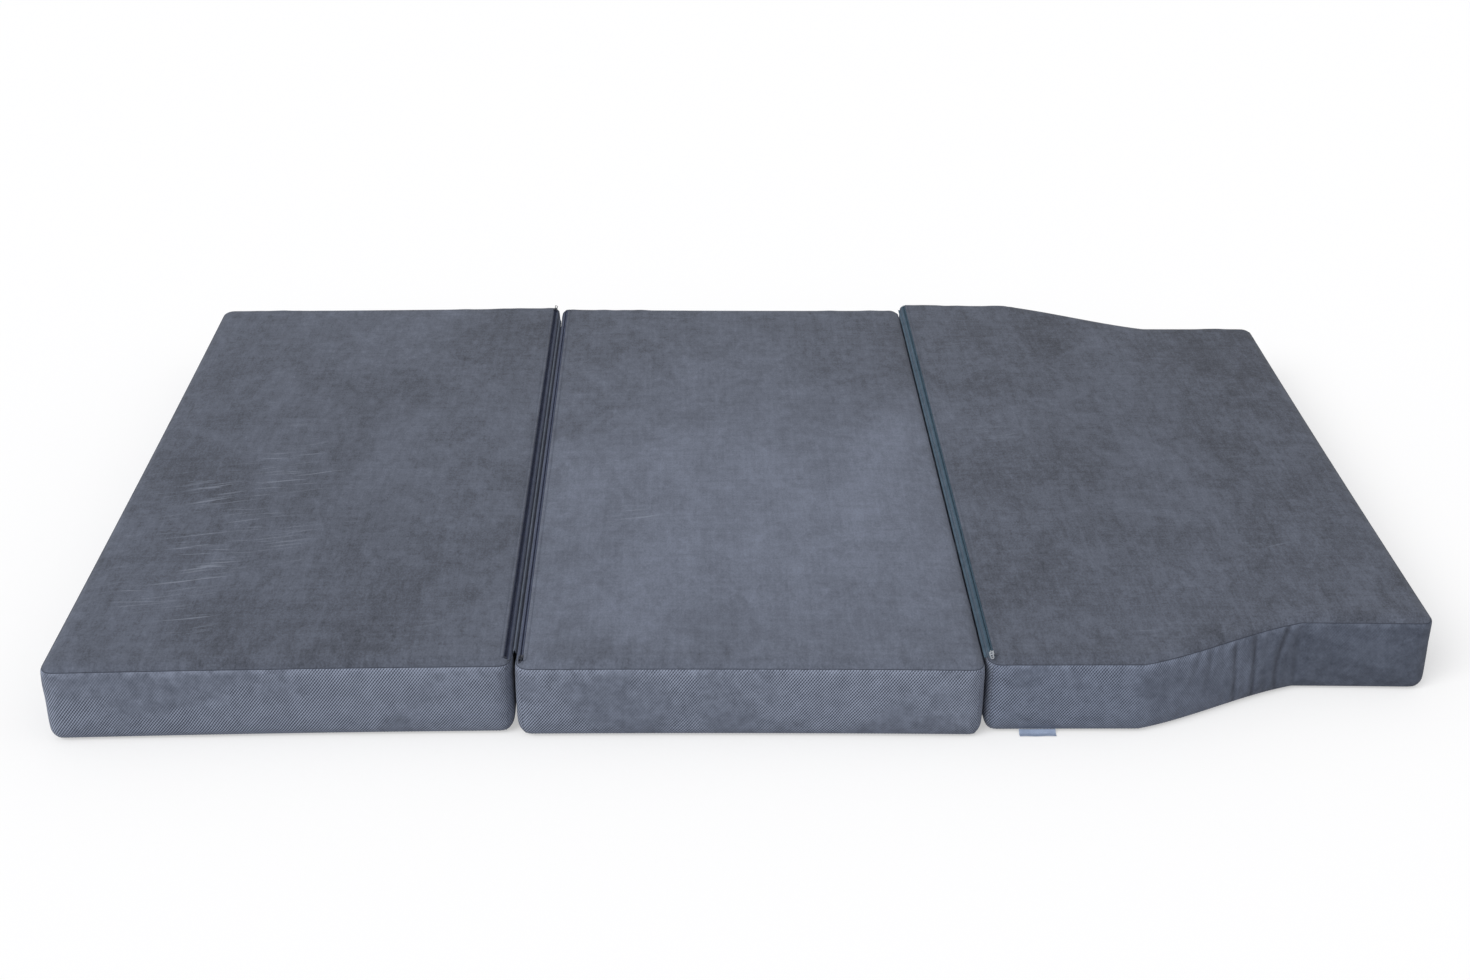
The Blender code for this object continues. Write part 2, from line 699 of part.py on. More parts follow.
def main():
    clear_scene()
    collection = make_collection("folding_mattress")
    helpers = make_collection("helpers")
    panels = make_panels()
    left, middle, right = panels
    add_frames(panels, collection)
    for panel in panels:
        add_cover_top(panel, collection)
        add_cover_base(panel, collection)
        add_core(panel, collection)
        add_seam_wall(panel, panel.zip_side, collection)
    add_wrap_band(left, collection)
    add_wrap_band(right, collection)
    add_seam_wall(middle, RIGHT, collection)
    add_straight_band(middle, "middle_front_band", LEFT, collection)
    add_straight_band(middle, "middle_back_band", RIGHT, collection)
    add_zip(left, collection, helpers, "navy_zip", "dark_metal")
    add_zip(middle, collection, helpers, "navy_zip", "dark_metal")
    add_zip(right, collection, helpers, "teal_zip", "silver_metal")
    add_top_hinge(left, middle, collection)
    add_bottom_hinge(middle, right, collection)
    add_label(right, collection)


main()
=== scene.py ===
"""Looks of the folding mattress: zipped suede covers on three foam panels, joined by two cloth hinges."""
import math
from contextlib import contextmanager

import bmesh
import bpy
import numpy as np
from mathutils import Matrix, Vector


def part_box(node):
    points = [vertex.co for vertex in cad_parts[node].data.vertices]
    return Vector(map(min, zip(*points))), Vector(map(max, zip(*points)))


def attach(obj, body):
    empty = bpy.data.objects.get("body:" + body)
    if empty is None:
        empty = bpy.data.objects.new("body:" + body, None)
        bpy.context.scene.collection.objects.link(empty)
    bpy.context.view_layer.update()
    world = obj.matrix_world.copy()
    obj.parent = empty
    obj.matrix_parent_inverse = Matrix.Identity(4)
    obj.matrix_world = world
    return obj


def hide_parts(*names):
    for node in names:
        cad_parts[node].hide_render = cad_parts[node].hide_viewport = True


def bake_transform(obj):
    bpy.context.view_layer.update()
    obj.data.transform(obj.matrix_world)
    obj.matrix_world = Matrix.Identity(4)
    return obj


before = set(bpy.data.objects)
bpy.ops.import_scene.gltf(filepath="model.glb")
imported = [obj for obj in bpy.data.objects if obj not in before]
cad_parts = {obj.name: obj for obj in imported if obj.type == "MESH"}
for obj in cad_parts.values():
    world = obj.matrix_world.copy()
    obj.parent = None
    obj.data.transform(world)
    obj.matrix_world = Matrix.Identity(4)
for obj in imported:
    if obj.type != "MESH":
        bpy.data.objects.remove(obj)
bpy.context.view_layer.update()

LEFT, RIGHT = -1, 1
MM = 0.001

# Sizes shared with the CAD model, in metres.
PANEL_HEIGHT, PANEL_WIDTH, RIGHT_PANEL_WIDTH = 0.117, 1.261, 1.275
LEFT_LENGTH, MIDDLE_LENGTH, RIGHT_LENGTH = 0.626, 0.630, 0.637
LEFT_GAP, RIGHT_GAP = 0.004, 0.003
LEFT_SET_BACK, RIGHT_SET_BACK = 0.009, 0.008
LEFT_SKEW, MIDDLE_SKEW, RIGHT_SKEW = 0.009, -0.011, -0.013
WIDE_LENGTH, TAPER_LENGTH, NARROWING = 0.205, 0.240, 0.111
TAPER_STAGGER, TAPER_SOFTNESS = 0.007, 0.3
CORNER_ROUND, RIGHT_FOLD_ROUND = 0.020, 0.018
TOP_ROUND, BOTTOM_ROUND = 0.012, 0.018
CROWN, DRAW_IN, DOME_POWER = 0.004, 0.002, 4
COVER_THICKNESS = 0.0015
TOP_SEAM_DROP, BASE_SEAM_HEIGHT, CORNER_SEAM_SHARE = 0.007, 0.005, 0.4
CORE_INSET, CORE_SEAT, CORE_BEVEL_DEPTH = 0.0030, 0.0026, 0.0032
ZIP_LEAN = math.radians(35)
ZIP_END_INSET, SLOT_HALF_WIDTH = 0.014, 0.0051
ROW_GAP, ROW_WIDTH = 0.0012, 0.0016
FIT_CLEARANCE, STOP_LENGTH = 0.0003, 0.0025
HINGE_END_INSET = 0.050

# How finely the covers are made, and how far the cloth may settle.
FLAT_STEP, TAPER_STEP, CORE_STEP = 0.012, 0.0040, 0.030
ROUND_ANGLES = (0, 15, 30, 45)
START_INSET = 0.0010
START_UNEVENNESS, START_WAVE, WAVES = 0.0003, 0.09, 14
SWELL_CAP, SINK_CAP, WALL_CAP, TOP_CAP = 0.0032, 0.0009, 0.0009, 0.0002
SEAM_DEPTH = 0.0008
CLOTH_FRAMES = 20
CLOTH_SETTINGS = {
    "quality": 6, "mass": 0.3, "tension_stiffness": 25, "compression_stiffness": 25, "shear_stiffness": 8,
    "bending_stiffness": 3, "use_pressure": True, "uniform_pressure_force": 4, "shrink_min": -0.012,
    "vertex_group_mass": "held", "pin_stiffness": 1,
}
NEAR_WALL, TOP_SHARE = 0.006, 0.4
# Near the zip the cover keeps its CAD form: how far from the wall and how high up, each with the width of its blend.
ZIP_REACH, ZIP_REACH_BLEND, ZIP_HEIGHT, ZIP_HEIGHT_BLEND = 0.034, 0.010, 0.1065, 0.0015
# A gather of at least this may swell and sink by so much more than its own size.
LEAST_GATHER, GATHER_SWELL, GATHER_SINK = 0.0003, 0.0008, 0.0004
COVER_FILL, FOAM_FILL = 0.85, 1.0

# Outlines of the strips along a zip, in millimetres across it and out of its plane. The tape's is for the outer side.
TAPE_PROFILE = ((0.36, -0.95), (0.9, -0.70), (1.4, -0.62), (2.3, -0.30), (3.4, -0.38), (4.9, -0.72),
                (4.95, -1.20), (3.4, -0.95), (2.3, -0.95), (1.4, -1.10), (0.9, -1.20), (0.36, -1.30))
# The flap beside the zip lies under the slider's side and short of the coil. Its ends follow the cover's surface.
FLAP_PROFILE = ((-4.8, 0.45), (-3.9, 0.42), (-3.55, 0.10), (-2.9, 0.07), (-2.75, -0.03), (-2.9, -0.13),
                (-3.6, -0.12), (-4.8, -0.16))
FLAP_OVER_COVER, FLAP_UNDER_COVER = ((-7.2, 0.15), (-6.2, 0.40)), ((-6.2, -0.30), (-7.2, -0.35))
# The right zip's edge tape goes on over the fold's wall: places out of the wall, and heights.
EDGE_TAPE_LIP = ((0.0002, 0.1098), (0.0012, 0.1096), (0.0024, 0.1098), (0.0024, 0.1094), (0.0012, 0.1091),
                 (0.0002, 0.1090))
EDGE_TAPE_REACH = {"left": 0.0085, "middle": 0.0072, "right": 0.0080}
ZIP_LOOKS = {"left": ("navy", "dark"), "middle": ("navy", "dark"), "right": ("teal", "silver")}
GUARD_PROFILE = ((-0.0049, -0.0027), (0.0049, -0.0027), (0.0049, -0.0030), (-0.0049, -0.0030))
EDGE_TAPE_TOP, EDGE_TAPE_BOTTOM, EDGE_TAPE_POINTS = 0.00045, 0.0002, 6
# Towards the back the left zip's edge tape narrows to this share, over this length, from this far before its end.
NARROW_SHARE, NARROW_LENGTH, NARROW_INSET = 0.12, 0.11, 0.012
FLAP_INSET, EDGE_TAPE_INSET, TOPSTITCH_INSET, TOPSTITCH_OFFSET = 0.001, 0.008, 0.004, 0.0030
COIL_STEP = 0.05
COIL_SIZES = {"Pitch": 0.0013, "Tooth Width": 0.0022, "Tooth Height": 0.0015}
SEAM_STITCHES = {"Spacing": 0.0046, "Stitch Length": 0.0028, "Thread Thickness": 0.0010}
TOPSTITCHES = {"Spacing": 0.0042, "Stitch Length": 0.0029, "Thread Thickness": 0.0007}
# The next line starts with the radius of the thin dark cord that paints shade in the top seam.
SEAM_SHADE_RADIUS, HEM_RADIUS, HEM_MARGIN = 0.00055, 0.0008, 0.0003
# Each metal part with the width of its rounded edges and the body that it rides on.
METAL_PARTS = (("bottom_stop", 0.0003, "panel"), ("top_stop", 0.0003, "panel"), ("slider", 0.00028, "slider"),
               ("pull", 0.00022, "pull"))
LIFT, BASE_STITCH_DEPTH = 0.0001, 0.0003
STRIP_STEP, HEM_CORNER = 0.02, 0.002
# Faces this near the zip's plane are cut for its slot, with a margin round it for the cuts.
SLOT_NEAR, SLOT_MARGIN = 0.008, 0.02

# The cloth hinges: half the width, the thickness and the level of each, and the heights of its cloth.
HINGE_POINTS, HINGE_STEP = 13, 0.03
TOP_HINGE_HALF_WIDTH, TOP_HINGE_THICKNESS, TOP_HINGE_LEVEL = 0.0022, 0.0007, 0.1
TOP_HINGE_EDGE, TOP_HINGE_PLEAT, TOP_HINGE_POWER = 0.1084, 0.0056, 1.8
BOTTOM_HINGE_HALF_WIDTH, BOTTOM_HINGE_THICKNESS, BOTTOM_HINGE_LEVEL = 0.0082, 0.0009, 0
BOTTOM_HINGE_MIDDLE, BOTTOM_HINGE_RISE = 0.0038, 0.0010

# The label: its cloth, its way down to the floor as shares of its length, and how its free end lifts and waves.
LABEL_THICKNESS, LABEL_POINTS, LABEL_STEP = 0.00045, 15, 0.004
LABEL_UNDER_SEAM, LABEL_LYING_HEIGHT = 0.0004, 0.0011
LABEL_DROP_START, LABEL_DROP_LENGTH = 0.02, 0.52
LABEL_END_LIFT, LABEL_LIFT_START, LABEL_LIFT_RATE = 0.0004, 0.8, 5
LABEL_WAVE, LABEL_WAVE_LENGTH = 0.0003, 0.031


class Panel:
    """One panel's place and size. zip_side is the end with its zip, and free_end one that nothing joins."""

    def __init__(self, name, start, length, middle, width, skew, rounds, zip_side, free_end, narrowing=0,
                 stagger=0):
        self.name, self.body = name, name + "_panel"
        self.start, self.end, self.length = start, start + length, length
        self.middle, self.width, self.skew = middle, width, skew
        self.walls, self.rounds = {LEFT: start, RIGHT: self.end}, dict(zip((LEFT, RIGHT), rounds))
        self.zip_side, self.free_end = zip_side, free_end
        self.joined_ends = [end for end in (LEFT, RIGHT) if end != free_end]
        self.narrowing, self.stagger = narrowing, stagger

    def lean(self, x):
        return self.skew * (x - (self.start + self.end) / 2) / self.length


def make_panels():
    start, end = -MIDDLE_LENGTH / 2, MIDDLE_LENGTH / 2
    return (
        Panel("left", start - LEFT_GAP - LEFT_LENGTH, LEFT_LENGTH, LEFT_SET_BACK, PANEL_WIDTH, LEFT_SKEW,
              (CORNER_ROUND, CORNER_ROUND), RIGHT, LEFT),
        Panel("middle", start, MIDDLE_LENGTH, 0, PANEL_WIDTH, MIDDLE_SKEW,
              (CORNER_ROUND, RIGHT_FOLD_ROUND), LEFT, None),
        Panel("right", end + RIGHT_GAP, RIGHT_LENGTH, RIGHT_SET_BACK, RIGHT_PANEL_WIDTH, RIGHT_SKEW,
              (RIGHT_FOLD_ROUND, CORNER_ROUND), LEFT, RIGHT, NARROWING, TAPER_STAGGER),
    )


# ---- Objects and meshes ----

def add_piece(name, mesh, slot=None, body=None, node=None):
    """A new object. Where they are given, it replaces a CAD node and rides on a body. The slot is not used."""
    piece = bpy.data.objects.new(name, mesh)
    bpy.context.scene.collection.objects.link(piece)
    if node:
        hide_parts(node)
    if body:
        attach(piece, body)
    return piece


def mesh_of(name, points, faces, edges=(), flat=None):
    """A new mesh, with the flat cloth place of each face's corners as its UV map where that is given."""
    mesh = bpy.data.meshes.new(name)
    mesh.from_pydata([tuple(p) for p in points], [tuple(e) for e in edges], [tuple(f) for f in faces])
    mesh.update()
    if flat is not None:
        layer = mesh.uv_layers.new(name="cloth")
        layer.data.foreach_set("uv", np.array(flat, np.float32).ravel())
    return mesh


def places_of(mesh):
    places = np.empty(len(mesh.vertices) * 3, np.float32)
    mesh.vertices.foreach_get("co", places)
    return places.reshape(-1, 3)


@contextmanager
def editing(mesh):
    """The mesh open for editing, written back at the end."""
    bm = bmesh.new()
    bm.from_mesh(mesh)
    yield bm
    bm.to_mesh(mesh)
    bm.free()


def settled_mesh(piece):
    """The piece's mesh with its modifiers applied; the piece is removed."""
    bpy.context.view_layer.update()
    graph = bpy.context.evaluated_depsgraph_get()
    mesh = bpy.data.meshes.new_from_object(piece.evaluated_get(graph))
    bpy.data.objects.remove(piece, do_unlink=True)
    return mesh


def modified(mesh, *steps):
    """A mesh after modifiers, each given as its kind and its settings."""
    piece = add_piece("in_work", mesh)
    for number, (kind, settings) in enumerate(steps):
        step = piece.modifiers.new(f"step_{number}", kind)
        for key, value in settings.items():
            setattr(step, key, value)
    return settled_mesh(piece)


def finish_surface(mesh, material, sharp_above=50):
    mesh.materials.clear()
    mesh.materials.append(material)
    mesh.shade_smooth()
    mesh.set_sharp_from_angle(angle=math.radians(sharp_above))
    return mesh


def steps_along(path):
    """How far along a path each of its points is."""
    return np.concatenate(([0], np.cumsum([math.dist(a, b) for a, b in zip(path, path[1:])])))


# ---- The panels' soft form ----

def smooth(share):
    share = np.clip(share, 0, 1)
    return share * share * (3 - 2 * share)


def dome(share):
    return 1 - np.abs(2 * share - 1) ** DOME_POWER


def bow(share):
    return 1 - (2 * share - 1) ** 2


def taper_share(panel, x):
    share = np.clip((x - panel.start - WIDE_LENGTH) / TAPER_LENGTH, 0, 1)
    return share + TAPER_SOFTNESS * (smooth(share) - share)


def box_of(panel, inset, seat):
    """A panel's box, set in all round and raised to a seat: its low and high corner, and the rounds at both."""
    low = (panel.start + inset, panel.middle - panel.width / 2 + inset, seat)
    high = (panel.end - inset, panel.middle + panel.width / 2 - inset, PANEL_HEIGHT - inset)
    low_round = (panel.rounds[LEFT] - inset, CORNER_ROUND - inset, BOTTOM_ROUND - seat)
    high_round = (panel.rounds[RIGHT] - inset, CORNER_ROUND - inset, TOP_ROUND - inset)
    return low, high, low_round, high_round


def soft_form(points, panel, inset, seat):
    """Moves points of a panel's box onto its soft form: rounded, crowned, drawn in, skewed and tapered."""
    low, high, low_round, high_round = (np.array(values) for values in box_of(panel, inset, seat))
    flat_low, flat_high = low + low_round, high - high_round
    nearest = np.clip(points, flat_low, flat_high)
    away = points - nearest
    rounds = np.where(away < 0, low_round, high_round)
    unit = np.abs(away) / rounds
    plan = np.arctan2(unit[:, 1], unit[:, 0])
    rise = np.arctan2(unit[:, 2], np.maximum(unit[:, 0], unit[:, 1]))
    shell = np.stack((np.cos(plan) * np.cos(rise), np.sin(plan) * np.cos(rise), np.sin(rise)), axis=1)
    x, y, z = (nearest + np.sign(away) * rounds * shell).T
    along = np.clip((x - flat_low[0]) / (flat_high[0] - flat_low[0]), 0, 1)
    across = np.clip((y - flat_low[1]) / (flat_high[1] - flat_low[1]), 0, 1)
    lift = np.clip((z - flat_high[2]) / high_round[2], 0, 1)
    side = (y - panel.middle) / ((high[1] - low[1]) / 2)
    new_y = y - DRAW_IN * bow(along) * side + panel.lean(x)
    new_y = new_y - panel.narrowing * taper_share(panel, x) * side
    new_x = x - panel.stagger * side * dome(along)
    if panel.free_end == LEFT:
        new_x = new_x + DRAW_IN * bow(across) * (high[0] - x) / (high[0] - low[0])
    if panel.free_end == RIGHT:
        new_x = new_x - DRAW_IN * bow(across) * (x - low[0]) / (high[0] - low[0])
    return np.stack((new_x, new_y, z + CROWN * dome(along) * dome(across) * lift), axis=1)


def stations(low, high, low_round, high_round, low_shares, high_shares, inner):
    """Box coordinates of the grid lines along one axis, close together in the rounds."""
    first = [low + low_round * (1 - share) for share in sorted(low_shares, reverse=True)]
    last = [high - high_round * (1 - share) for share in sorted(high_shares)]
    return np.array(first + list(inner) + last)


def even(low, high, step):
    count = max(1, round((high - low) / step))
    return list(np.linspace(low, high, count + 1))


def grid_lines(panel, inset, seat, coarse):
    """The grid of a panel's box, with lines at the seams: x, y and z, and where the seams are in them."""
    turns = tuple(math.tan(math.radians(angle)) for angle in ROUND_ANGLES)
    step = CORE_STEP if coarse else FLAT_STEP
    corner = (1 - CORNER_SEAM_SHARE) / math.sqrt(1 - (1 - CORNER_SEAM_SHARE) ** 2)
    rise = (TOP_ROUND - TOP_SEAM_DROP) / TOP_ROUND
    seam = rise / math.sqrt(1 - rise ** 2)
    low, high, low_round, high_round = box_of(panel, inset, seat)
    flats = [(low[axis] + low_round[axis], high[axis] - high_round[axis]) for axis in range(3)]
    inner = [even(*flats[0], step), even(*flats[1], step), even(*flats[2], 0.8 * step)]
    if panel.narrowing:
        bend = panel.start + WIDE_LENGTH
        inner[0] = even(flats[0][0], bend - FLAT_STEP, step)
        inner[0] += even(bend, bend + TAPER_LENGTH + FLAT_STEP, 2 * TAPER_STEP if coarse else TAPER_STEP)
        inner[0] += even(bend + TAPER_LENGTH + 2 * FLAT_STEP, flats[0][1], step)
    x_turns, z_turns = (turns, turns) if coarse else (turns + (corner,), (0, 0.24, seam, 0.71, 1))
    shares = ((x_turns, x_turns), (turns, turns), (turns, z_turns))
    lines = [stations(low[axis], high[axis], low_round[axis], high_round[axis], *shares[axis], inner[axis][1:-1])
             for axis in range(3)]
    seams = {
        LEFT: low[0] + low_round[0] * (1 - corner),
        RIGHT: high[0] - high_round[0] * (1 - corner),
        "top": high[2] - high_round[2] * (1 - seam),
    }
    return lines, seams


class Lattice:
    """The grid on a panel's box: its points, and its faces with a label and a flat cloth place for each corner."""

    def __init__(self, panel, inset=0.0, seat=0.0, coarse=False):
        self.panel, self.coarse = panel, coarse
        (self.xs, self.ys, self.zs), self.seams = grid_lines(panel, inset, seat, coarse)
        shape = (len(self.xs), len(self.ys), len(self.zs))
        on = np.zeros(shape, bool)
        on[[0, -1]] = on[:, [0, -1]] = on[:, :, [0, -1]] = True
        self.index = np.full(shape, -1)
        self.index[on] = np.arange(on.sum())
        self.box = np.stack(np.meshgrid(self.xs, self.ys, self.zs, indexing="ij"), axis=-1)[on]
        self.points = soft_form(self.box, panel, inset, seat)
        # How deep in a crease each point is, kept for the painted shade in the creases.
        self.crease = np.zeros(len(self.box))
        self.seam_level = int(np.argmin(np.abs(self.zs - self.seams["top"])))
        self.faces, self.labels, self.flat = [], [], []
        self.add_level(shape[2] - 1, "top", 1)
        self.add_level(0, "base", -1)
        self.add_sides()

    def add_face(self, places, label, flat=None):
        """A face through places of the grid, laid flat as given or else as seen from above."""
        face = [self.index[place] for place in places]
        self.faces.append(face)
        self.labels.append(label)
        self.flat.append(flat or [tuple(self.points[v][:2]) for v in face])

    def add_level(self, k, label, towards):
        for i in range(len(self.xs) - 1):
            for j in range(len(self.ys) - 1):
                self.add_face([(i, j, k), (i + 1, j, k), (i + 1, j + 1, k), (i, j + 1, k)][::towards], label)

    def ring_columns(self):
        """Grid columns round the panel, seen from above against the clock, from the front corner seam by the zip."""
        last_i, last_j = len(self.xs) - 1, len(self.ys) - 1
        ring = [(i, 0) for i in range(last_i)] + [(last_i, j) for j in range(last_j)]
        ring += [(i, last_j) for i in range(last_i, 0, -1)] + [(0, j) for j in range(last_j, 0, -1)]
        seam = self.seams[self.panel.zip_side]
        first = min(range(last_i), key=lambda c: abs(self.xs[ring[c][0]] - seam))
        return ring[first:] + ring[:first]

    def side_label(self, here, there):
        x = (self.xs[here[0]] + self.xs[there[0]]) / 2
        if x < self.seams[LEFT]:
            return "left_wall"
        if x > self.seams[RIGHT]:
            return "right_wall"
        return "front" if here[1] == 0 else "back"

    def add_sides(self):
        ring = self.ring = self.ring_columns()
        level = len(self.zs) // 2
        path = self.points[[self.index[i, j, level] for i, j in ring + ring[:1]]]
        run = np.concatenate(([0], np.cumsum(np.linalg.norm(np.diff(path, axis=0), axis=1))))
        for c, here in enumerate(ring):
            there = ring[(c + 1) % len(ring)]
            label = self.side_label(here, there)
            for k in range(len(self.zs) - 1):
                corners = ((here, c, k), (there, c + 1, k), (there, c + 1, k + 1), (here, c, k + 1))
                above = not self.coarse and k >= self.seam_level
                flat = None if above else [(run[cc], self.zs[kk]) for _, cc, kk in corners]
                self.add_face([(*ij, kk) for ij, _, kk in corners], "top" if above else label, flat)

    def column(self, end, front):
        """The grid points up a corner seam, from the base seam to the top seam."""
        i = int(np.argmin(np.abs(self.xs - self.seams[end])))
        j = 0 if front else len(self.ys) - 1
        return [self.index[i, j, k] for k in range(self.seam_level + 1)]

    def corner_seams(self):
        return [self.column(end, front) for end in self.panel.joined_ends for front in (True, False)]

    def loop(self, level):
        return [self.index[i, j, level] for i, j in self.ring]

    def seam_points(self):
        """Points on any seam of the cover, which its stitches hold."""
        return sorted({v for seam in (self.loop(self.seam_level), self.loop(0), *self.corner_seams()) for v in seam})

    def on_floor(self):
        return self.box[:, 2] <= self.zs[0] + 1e-6

    def mesh(self, name, points, labels):
        """The mesh of the faces with these labels."""
        chosen = [n for n, label in enumerate(self.labels) if label in labels]
        faces = np.array([self.faces[n] for n in chosen])
        used, small = np.unique(faces, return_inverse=True)
        mesh = mesh_of(name, points[used], small.reshape(faces.shape), flat=[self.flat[n] for n in chosen])
        # The crease depths go with the mesh as an attribute, which the band's material turns into painted shade.
        if self.crease.any():
            depth = mesh.attributes.new("crease", "FLOAT", "POINT")
            depth.data.foreach_set("value", self.crease[used].astype(np.float32))
        return mesh


# ---- Settling the covers ----

# Each crease in the spare cloth of the tapered wall: its place along the taper as a share, at its top, middle and
# bottom, its depth, half its width, and the heights between which it shows, as shares of the wall's height.
FRONT_CREASES = (
    (0.23, 0.20, 0.18, 0.0007, 0.0034, 0.62, 1.1), (0.365, 0.31, 0.29, 0.0012, 0.0032, 0.45, 1.1),
    (0.435, 0.42, 0.41, 0.0015, 0.0030, 0.30, 1.1), (0.520, 0.515, 0.51, 0.0008, 0.0034, 0.55, 1.1),
    (0.590, 0.605, 0.63, 0.0028, 0.0030, -0.4, 1.02), (0.720, 0.735, 0.75, 0.0028, 0.0030, -0.4, 1.05),
    (0.800, 0.815, 0.83, 0.0012, 0.0026, -0.4, 0.32), (0.945, 0.885, 0.91, 0.0030, 0.0032, -0.4, 1.08),
    (0.820, 0.815, 0.80, 0.0010, 0.0028, 0.80, 1.1), (1.195, 1.18, 1.17, 0.0011, 0.0040, 0.58, 1.1),
)
BACK_CREASES = (
    (0.34, 0.30, 0.28, 0.0012, 0.0032, 0.40, 1.1), (0.50, 0.51, 0.53, 0.0022, 0.0030, -0.4, 1.05),
    (0.66, 0.65, 0.66, 0.0026, 0.0030, -0.4, 1.05), (0.81, 0.80, 0.82, 0.0028, 0.0032, -0.4, 1.08),
    (1.00, 0.96, 0.95, 0.0018, 0.0036, 0.20, 1.1),
)
DEEPEST_CREASE = 0.0026
# The cloth stands up on both sides of a crease: places and widths, in half widths of the crease.
CREASE_SWELLS = ((2.8, 1.7), (-2.6, 1.5))
SWELL_SHARE, VALLEY_SHARE = 0.75, 0.45
WALL_EDGE, WALL_EDGE_BLEND = 0.012, 0.008


def creases(lattice):
    """How far the tapered wall's spare cloth stands out at each point, in metres, and how deep in a crease it is, which
    sets the painted shade in the crease.
    """
    panel = lattice.panel
    x, y, z = lattice.points.T
    bend = panel.start + WIDE_LENGTH
    half = panel.width / 2 - panel.narrowing * taper_share(panel, x)
    out, deep = np.zeros(len(x)), np.zeros(len(x))
    height = np.clip((z - BASE_SEAM_HEIGHT) / (PANEL_HEIGHT - TOP_SEAM_DROP - BASE_SEAM_HEIGHT), 0, 1)
    fade = smooth(height / 0.10) * smooth((1 - height) / 0.06)
    for towards, rows in ((-1, FRONT_CREASES), (1, BACK_CREASES)):
        on_wall = smooth((towards * (y - panel.middle - panel.lean(x)) - half + WALL_EDGE) / WALL_EDGE_BLEND)
        for top, mid, bottom, depth, half_width, low, high in rows:
            share = mid + (top - bottom) / 2 * (2 * height - 1) + ((top + bottom) / 2 - mid) * (2 * height - 1) ** 2
            off = (x - bend - share * TAPER_LENGTH) / (half_width * (0.85 + 0.35 * height))
            seen = smooth((height - low) / 0.22) * smooth((high - height) / 0.10) * on_wall
            valley = np.exp(-off ** 2) * seen
            swell = sum(np.exp(-((off - place) / width) ** 2) for place, width in CREASE_SWELLS) * seen
            out += depth * fade * (SWELL_SHARE * swell - VALLEY_SHARE * valley)
            deep = np.maximum(deep, valley * smooth(height / 0.04) * min(1.0, depth / DEEPEST_CREASE))
    return out, deep


def uneven(points, seed, size, wave):
    """Small smooth unevenness, the same on each run."""
    chance = np.random.default_rng(seed)
    total = np.zeros(len(points))
    for _ in range(WAVES):
        direction = chance.normal(size=3)
        direction /= np.linalg.norm(direction)
        turns = 2 * math.pi / (wave * chance.uniform(0.6, 1.8))
        total += np.sin(points @ direction * turns + chance.uniform(0, 6.28))
    return size * total / math.sqrt(WAVES)


def outward(points, faces):
    """Unit normals at the points."""
    corners = points[faces]
    normals = np.cross(corners[:, 2] - corners[:, 0], corners[:, 3] - corners[:, 1])
    total = np.zeros_like(points)
    for corner in range(4):
        np.add.at(total, faces[:, corner], normals)
    return total / np.maximum(np.linalg.norm(total, axis=1, keepdims=True), 1e-12)


def inflate(lattice, points):
    """Lets the cover's cloth swell between its seams by a short cloth simulation, and gives the new points."""
    name = lattice.panel.name + "_cloth"
    piece = add_piece(name, mesh_of(name, points, lattice.faces))
    held = piece.vertex_groups.new(name="held")
    for group in (lattice.seam_points(), np.where(lattice.on_floor())[0]):
        held.add([int(v) for v in group], 1.0, "REPLACE")
    cloth = piece.modifiers.new("cloth", "CLOTH")
    for key, value in CLOTH_SETTINGS.items():
        setattr(cloth.settings, key, value)
    cloth.settings.effector_weights.gravity = 0
    cloth.point_cache.frame_start, cloth.point_cache.frame_end = 1, CLOTH_FRAMES
    for number in range(1, CLOTH_FRAMES + 1):
        bpy.context.scene.frame_set(number)
    swollen = settled_mesh(piece)
    bpy.context.scene.frame_set(1)
    places = places_of(swollen).astype(float)
    bpy.data.meshes.remove(swollen)
    return places


def settled(panel, seed):
    """The panel's lattice and its points after the cloth has settled, kept close to the CAD form."""
    form = Lattice(panel)
    faces = np.array(form.faces)
    inner = Lattice(panel, inset=START_INSET)
    normals = outward(form.points, faces)
    ripple = uneven(inner.points, seed, START_UNEVENNESS, START_WAVE)
    start = inner.points + outward(inner.points, faces) * ripple[:, None]
    start[:, 2] = np.maximum(start[:, 2], 0)
    if panel.narrowing:
        # The crease depths are kept on the form for the painted crease shade.
        gather, form.crease = creases(form)
        start[:, 1] += np.sign(form.points[:, 1] - panel.middle) * gather
    swollen = inflate(form, start)
    move = swollen - start
    size = np.linalg.norm(move, axis=1)
    move *= (np.minimum(size, SWELL_CAP) / np.maximum(size, 1e-12))[:, None]
    points = start + move
    above = ((points - form.points) * normals).sum(axis=1)
    x, y, z = form.points.T
    highest, lowest = np.full(len(points), SWELL_CAP), np.full(len(points), -SINK_CAP)
    highest[form.box[:, 2] >= form.zs[-1] - TOP_ROUND * TOP_SHARE] = TOP_CAP
    for end in panel.joined_ends:
        highest[np.abs(x - panel.walls[end]) < NEAR_WALL] = WALL_CAP
    if panel.narrowing:
        highest = np.where(np.abs(gather) > LEAST_GATHER, np.maximum(highest, gather + GATHER_SWELL), highest)
        lowest = np.minimum(lowest, gather - GATHER_SINK)
    points -= normals * np.maximum(above - highest, 0)[:, None]
    points += normals * np.maximum(lowest - above, 0)[:, None]
    seam = np.array(form.seam_points())
    points[seam] = form.points[seam] - normals[seam] * SEAM_DEPTH
    by_zip = smooth((ZIP_REACH - np.abs(x - panel.walls[panel.zip_side])) / ZIP_REACH_BLEND)
    by_zip *= smooth((z - ZIP_HEIGHT) / ZIP_HEIGHT_BLEND)
    points = points + (form.points - points) * by_zip[:, None]
    points[:, 2] = np.clip(points[:, 2], 0, PANEL_HEIGHT + CROWN + TOP_CAP)
    points[form.on_floor()] = form.points[form.on_floor()]
    return form, points


# ---- The zips ----

